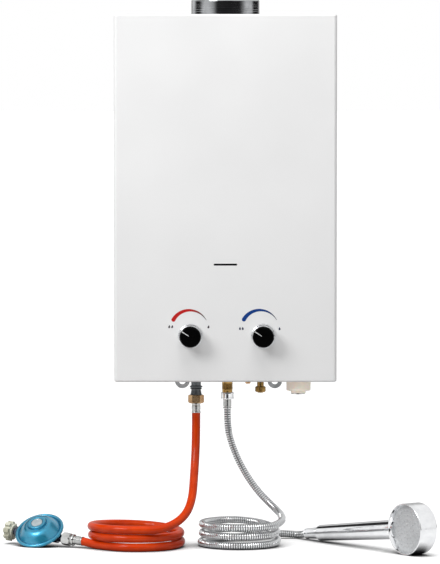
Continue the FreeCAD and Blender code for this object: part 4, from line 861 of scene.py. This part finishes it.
def crimpedFerrule(radius, length, bands):
    # a pressed sleeve with crimped bands and a rolled lip at the hose end
    profile = [(radius - 1.6, 0), (radius, 0)]
    for share in bands:
        middle = share * length
        profile += [(radius, middle - 1.2), (radius - 0.45, middle - 0.7), (radius - 0.45, middle + 0.7),
                    (radius, middle + 1.2)]
    profile += [(radius, length - 1.4), (radius + 0.35, length - 1.0), (radius + 0.35, length - 0.3),
                (radius - 0.2, length), (radius - 1.6, length)]
    return turned(profile, closed=True, steps=64, soften=0.12)


fittings = {
    "gas": {"x": -43.8, "y": -80, "bottom": -528.8, "flange": 22.08, "flangeBore": 7.4, "nutLength": 12.3,
            "nutFlats": 20.6, "ferrule": (6.55, 14.7, (0.22, 0.74))},
    "hot": {"x": 3, "y": -50, "bottom": -527.5, "flange": 23.552, "flangeBore": 8.2, "nutLength": 10.2,
            "nutRadius": 9.95, "ferrule": (6.1, 14, (0.86,))},
    "panel": -502.7, "flangeThick": 3,
}


def addFitting(name, node, profile, fitting, material):
    # a turned body with a hexagon flange that lies on the bottom panel
    panel = fittings["panel"]
    flange = hexNut(fitting["flange"], panel, panel + fittings["flangeThick"], fitting["flangeBore"])
    upright = standing(fitting["x"], fitting["y"], 0)
    shapes = [moved(shape, upright) for shape in (turned(profile, closed=True), flange)]
    addPiece(name, merged(shapes), material, standsFor=[node])
    return upright, fitting["bottom"] - fitting["nutLength"]


def addFerrule(name, fitting, nutLow, node):
    down = frameAlong(point(fitting["x"], fitting["y"], nutLow), (0, 0, -1))
    addPiece(name, moved(crimpedFerrule(*fitting["ferrule"]), down), nickel, standsFor=[node])


def addGasInlet():
    f = fittings["gas"]
    low = f["bottom"]
    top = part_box("gas_inlet_fitting")[1].z / mm
    profile = [(4, low), (8.2, low), (8.5, low + 0.5), (7.4, low + 6), (7.1, low + 6.6), (7.1, low + 8.2)]
    profile += arcOf(8.2, low + 9, 0.7, -80, 80, 5) + [(7.3, low + 10.2)]
    profile += arcOf(8.3, low + 12.1, 1.3, -80, 80, 6) + [(7.3, low + 14.2), (7.1, low + 15), (7.5, low + 23)]
    profile += [(7.5, top), (4, top)]
    upright, nutLow = addFitting("gasInlet", "gas_inlet_fitting", profile, f, phosphateSteel)
    nut = hexNut(f["nutFlats"], nutLow, low, 5.5, turn=30)
    lip = [(5.5, nutLow - 0.02), (8.9, nutLow - 0.02), (8.9, nutLow + 0.6), (5.5, nutLow + 0.6)]
    addPiece("gasHoseNut", moved(merged([nut, turned(lip, closed=True)]), upright), roseBrass,
             standsFor=["gas_hose_nut"])
    addFerrule("hoseFerruleTop", f, nutLow, "gas_hose_ferrules")


def addHotOutlet():
    f = fittings["hot"]
    low = f["bottom"]
    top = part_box("hot_outlet_fitting")[1].z / mm
    profile = [(5, low), (7.6, low), (7.6, low + 3)]
    for k in range(5):
        z = low + 4 + 2 * k
        profile += [(7.7, z), (8.3, z + 0.7), (8.3, z + 1), (7.7, z + 1.7)]
    profile += [(8.1, low + 16), (8.3, low + 16.4), (8.3, top), (5, top)]
    upright, nutLow = addFitting("hotOutlet", "hot_outlet_fitting", profile, f, brass)
    r = f["nutRadius"]
    rim = [(4, nutLow), (r - 1.2, nutLow)] + arcOf(r - 1, nutLow + 1, 1, -90, 0, 4)
    rim += [(r, nutLow + 2.2), (r - 0.5, nutLow + 2.5), (r - 0.5, low - 2.5), (r, low - 2.2)]
    rim += arcOf(r - 1, low - 1, 1, 0, 90, 4) + [(4, low)]
    addPiece("showerNut", moved(turned(rim, closed=True), upright), chrome, standsFor=["shower_hose_nut"])
    addFerrule("showerFerrule", f, nutLow, "shower_hose_ferrule")


def addUnderside():
    smoothCopy("drain_cap", brass, "drainCap", limit=30)
    smoothCopy("battery_cap", ivoryAbs, "batteryCap", limit=30)
    smoothCopy("water_inlet_fitting", nickel, "coldInlet", limit=30)


screws = {"headRadius": 3.9, "headHeight": 2.8, "shank": 2, "length": 9, "slotWidth": 0.9,
          "slotDepth": 1.4, "sideHeights": (-40, -470), "sideY": -8, "bottomAt": (33.4, -134)}


def crossHeadScrew():
    # a pan head with a cross recess, its shank along local -Z
    s = screws
    head = [(0, -s["length"]), (s["shank"], -s["length"]), (s["shank"], 0), (s["headRadius"], 0),
            (s["headRadius"], s["headHeight"] * 0.4)]
    head += arcOf(s["headRadius"] - 1.7, s["headHeight"] - 1.7, 1.7, 10, 90, 6) + [(0, s["headHeight"])]
    shape = turned(head, steps=40)
    reach = s["headRadius"] * 0.6
    top = s["headHeight"]
    for across in ((reach, s["slotWidth"] / 2), (s["slotWidth"] / 2, reach)):
        shape = carved(shape, brick((-across[0], -across[1], top - s["slotDepth"]), (*across, top + 1)))
    return shape


def addScrews():
    low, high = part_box("casing_screws")
    half = (high.x - low.x) / 2 / mm - screws["headHeight"]
    places = [((side * half, screws["sideY"], z), (side, 0, 0))
              for side in (-1, 1) for z in screws["sideHeights"]]
    places.append(((*screws["bottomAt"], low.z / mm + screws["headHeight"]), (0, 0, -1)))
    shapes = [moved(crossHeadScrew(), frameAlong(point(*at), axis)) for at, axis in places]
    addPiece("casingScrews", merged(shapes), roseBrass, standsFor=["casing_screws"])


regulator = {
    "centre": (-277.77, -104.80, -730.69), "face": (-0.2188, -0.5333, 0.8172),
    "way": (0.8808, -0.4683, -0.06976), "radius": 37.1, "bead": 2.6, "wayDrop": 9, "domeRise": 12.8,
    "bossRadius": 13.4, "bossRing": 3.2, "bossTop": 17.5, "discRadius": 8.6, "baseDepth": 15, "neck": 39,
    "nutFlats": 17.5, "nutLength": 19, "stub": 5.5, "wheelFrom": 45.5, "wheelWidth": 13,
    "wheelRadius": 14.8, "wheelSeat": 10.35, "lugs": 8,
}


def alongWay(distance):
    # a place on the gas way, with local Z running out towards the hose
    r = regulator
    way = Vector(r["way"]).normalized()
    start = point(*r["centre"]) - Vector(r["face"]).normalized() * r["wayDrop"] * mm + way * distance * mm
    return frameAlong(start, way, up=r["face"])


def addDome(place, ring, boss):
    # the pressed upper shell: a rolled bead, a rounded shoulder and a boss that the disc sits in
    r = regulator
    profile = arcOf(ring, 0, r["bead"], -70, 150, 16)
    start = ring - r["bead"] - 0.3
    profile.append((start + 0.1, 0.4))
    step = boss + r["bossRing"]
    steps = 12
    for k in range(1, steps + 1):
        share = k / steps
        profile.append((start + (step - start) * share, 0.5 + r["domeRise"] * sin(share * pi / 2)))
    foot = 0.5 + r["domeRise"]
    profile += arcOf(step - 0.9, foot + 0.1, 0.9, 60, 150, 5) + [(boss + 0.5, foot + 0.1), (boss, foot + 0.9)]
    top = r["bossTop"]
    profile += arcOf(boss - 1.3, top - 1.3, 1.3, 0, 90, 6)
    seat = r["discRadius"]
    profile += [(seat + 1.2, top), (seat + 0.3, top - 0.5), (seat + 0.3, top - 1.8), (0, top - 1.8)]
    under = [(0, 12), (boss, 11.2), (ring - 5, 0.2), (ring - 2.5, -0.9), (ring, -0.9)]
    addPiece("regulatorDome", moved(turned(profile + under, steps=128), place), blueLacquer,
             standsFor=["regulator_dome"], limit=38)
    disc = [(0, top - 1.9), (seat, top - 1.9), (seat, top - 1), (seat - 0.5, top - 0.5),
            (seat - 1.5, top - 0.5), (seat - 1.9, top - 0.8), (0, top - 0.8)]
    addPiece("regulatorDisc", moved(turned(disc), place), discMetal, limit=30)


def addBase(place, ring, boss):
    # the lower pan, with the gas way through it from the cylinder's nipple to the hose stub
    r = regulator
    deep = r["baseDepth"]
    pan = [(0, -deep), (boss, -deep)] + arcOf(boss, -deep + 3, 3, -90, -30, 4)
    pan += [(boss + 9, -deep * 0.58), (ring - 2.2, -4.4), (ring - 1, -1.6), (ring - 1, -1), (0, -1)]
    shapes = [moved(turned(pan), place)]
    wheel = -r["wheelFrom"]
    rods = []
    for radius, low, high in [(8, wheel + 3, 0), (8, 0, r["neck"] - 8), (r["stub"], 0, r["neck"])]:
        rods.append([(0, low), (radius - 0.6, low), (radius, low + 0.6), (radius, high - 0.6),
                     (radius - 0.6, high), (0, high)])
    tip = wheel - r["wheelWidth"] + 8
    rods.append([(0, tip), (7, tip), (7, tip + 2), (5, tip + 2), (5, wheel + 4), (0, wheel + 4)])
    shapes += [moved(turned(rod, steps=48), alongWay(0)) for rod in rods]
    addPiece("regulatorBase", merged(shapes), navyLacquer, standsFor=["regulator_base"])


def addRegulator():
    r = regulator
    place = frameAlong(point(*r["centre"]), r["face"], up=r["way"])
    ring = r["radius"] - r["bead"]
    addDome(place, ring, r["bossRadius"])
    addBase(place, ring, r["bossRadius"])
    end = r["nutLength"]
    nut = hexNut(r["nutFlats"], 0, end - 6, chamfer=2)
    band = [(3, end - 6), (7.2, end - 6), (7.2, end - 4.6), (6.3, end - 4.4), (6.3, end - 3.2),
            (8.4, end - 3), (8.7, end - 2.4), (8.7, end - 0.8), (8.2, end), (3, end)]
    shapes = [moved(shape, alongWay(r["neck"])) for shape in (nut, turned(band, closed=True, steps=64))]
    addPiece("regulatorNut", merged(shapes), nickel, standsFor=["regulator_nut"])
    ferrule = crimpedFerrule(*fittings["gas"]["ferrule"])
    addPiece("hoseFerruleEnd", moved(ferrule, alongWay(r["neck"] + end)), nickel)
    addWheel()


def addWheel():
    # the cylinder nut's handwheel: a cast drum with bold lugs and a narrower step behind
    r = regulator
    high = -r["wheelFrom"]
    low = high - r["wheelWidth"]
    core = r["wheelRadius"] - 3
    seat = low + r["wheelSeat"]
    profile = [(10, low), (core - 0.8, low), (core, low + 0.8), (core, high - 3), (core - 1.6, high - 2.4),
               (core - 1.6, high - 0.6), (core - 2.2, high), (5.1, high), (5.1, seat), (10, seat)]
    shapes = [turned(profile, closed=True, steps=72, soften=0.2)]
    for k in range(r["lugs"]):
        lug = brick((core - 1, -3.2, low + 0.6), (r["wheelRadius"], 3.2, high - 3.4), soften=0.8)
        shapes.append(moved(lug, Matrix.Rotation(2 * pi * k / r["lugs"], 4, "Z")))
    addPiece("regulatorWheel", moved(merged(shapes), alongWay(0)), paleCasting, bodyOf("regulator_handwheel"),
             ["regulator_handwheel"])


def headPlace():
    # the middle of the drum, with local Z out of the face
    h = handset
    middle = handleTail + handleWay * h["length"] * mm
    middle.z = floorHeight + h["headRadius"] * mm
    facing = radians(h["facing"])
    return frameAlong(middle, (cos(facing), sin(facing), 0), up=(0, 0, 1))


def addHandset():
    h = handset
    half = h["headDepth"] / 2
    r = h["headRadius"]
    f = h["faceRadius"]
    plateTop = half - h["recess"]
    drum = [(0, half - 9), (f + 0.1, half - 9), (f + 0.1, plateTop + 0.2)]
    drum += [(r - 1.2 - h["rim"] * 0.5, half - 0.15)] + arcOf(r - 1.2, half - 1.2, 1.2, 90, 0, 6)
    drum += [(r, half - 9.6), (r - 0.2, half - 9.9), (r - 0.2, half - 10.3), (r, half - 10.6)]
    drum += arcOf(r - h["edge"], -half + h["edge"], h["edge"], 0, -90, 8) + [(r * 0.55, -half), (0, -half)]
    head = moved(turned(drum, steps=160), headPlace())
    neck = h["length"] - r * 0.8
    grip = [(0, 0), (10.8, 0)] + arcOf(10.8, 1.2, 1.2, -70, 0, 4) + [(12, 3.5), (12.9, neck * 0.33)]
    grip += [(13.8, neck * 0.62), (14.3, neck * 0.8), (14.6, neck * 0.92), (15, neck), (0, neck)]
    handle = moved(turned(grip, steps=96), frameAlong(handleTail, handleWay, up=(0, 0, 1)))
    addPiece("handset", merged([head, handle]), chrome, standsFor=["handset_body"], limit=38)
    # the plate has a low swelling under each ring of nozzles
    plate = [(0, half - 8.9), (f, half - 8.9), (f, plateTop - 0.3)]
    nozzles = []
    for number in range(h["rings"], 0, -1):
        ring = number * (f - 6) / h["rings"]
        plate += [(ring + 2.2, plateTop - 0.25), (ring + 1.5, plateTop - 0.05), (ring - 1.5, plateTop - 0.05),
                  (ring - 2.2, plateTop - 0.25)]
        for k in range(6 * number):
            nozzle = turned([(0, 0), (h["nozzle"], 0), (h["nozzle"] * 0.8, h["nozzleHeight"]),
                             (0.3, h["nozzleHeight"]), (0, h["nozzleHeight"] - 0.4)], steps=8)
            spin = Matrix.Rotation(2 * pi * k / (6 * number), 4, "Z")
            nozzles.append(moved(nozzle, spin @ standing(ring, 0, plateTop - 0.1)))
    plate += [(0, plateTop - 0.25)]
    addPiece("sprayFace", moved(merged([turned(plate, steps=128)] + nozzles), headPlace()), frostedFace,
             standsFor=["handset_face"])
    nut = [(4, 0), (7.9, 0)] + arcOf(7.6, 1, 0.8, -50, 50, 5) + [(7.5, 2.2), (7.7, 2.6), (8.9, 26)]
    nut += [(8.9, 27)] + arcOf(9, 28.2, 0.8, -60, 60, 5) + [(8.9, 29.4), (9.2, 31.7), (4, 31.7)]
    place = frameAlong(handleTail - handleWay * h["nutLength"] * mm, handleWay)
    nut = moved(turned(nut, closed=True, steps=72), place)
    addPiece("handsetNut", nut, chrome, standsFor=["handset_nut"])
    # the little stop button on the side of the handle
    at = handleTail + handleWay * h["length"] * mm * h["buttonAt"]
    out = Vector((sin(handleTurn), -cos(handleTurn), 0)).normalized()
    dot = [(0, 13.2), (h["button"], 13.2), (h["button"], 14.6), (h["button"] - 0.6, 15.1), (0, 15.2)]
    addPiece("stopButton", moved(turned(dot, steps=40), frameAlong(at, out, up=(0, 0, 1))), blackRubber)


inside = [
    (zincSheet, ["draft_hood", "burner_frame"]),
    (copper, ["heat_exchanger_shell", "heat_exchanger_fins", "heat_exchanger_pipe", "cold_pipe", "hot_pipe"]),
    (stainless, ["burner_bars", "microswitch_lever", "gas_valve_spring", "inlet_filter", "battery_spring"]),
    (castAluminium, ["gas_manifold", "gas_valve_body"]),
    (brass, ["gas_jets", "water_valve_body", "water_valve_cover", "push_rod", "gas_spindle", "water_spindle",
             "drain_stem"]),
    (glazedCeramic, ["ignition_electrodes"]), (blackNylon, ["ignition_controller", "microswitch"]),
    (blackRubber, ["ignition_leads", "water_diaphragm", "regulator_diaphragm"]),
    (phosphateSteel, ["solenoid_valve"]), (nickel, ["overheat_thermostat"]), (ivoryAbs, ["battery_tube"]),
    (cellWrap, ["battery_cells"]),
]

addCasing()
addCollar()
addKnob("gasKnob", "gas_knob", "gas_control")
addKnob("waterKnob", "water_knob", "water_control")
print("casing, collar and knobs ready")
addGasInlet()
addHotOutlet()
addUnderside()
addScrews()
print("connections ready")
addRegulator()
addHandset()
print("regulator and hand shower ready")
addHoses()
print("hoses ready")
for material, nodes in inside:
    for node in nodes:
        mesh = frame["nodes"][node].data
        mesh.materials.clear()
        mesh.materials.append(material)
print("inside ready")
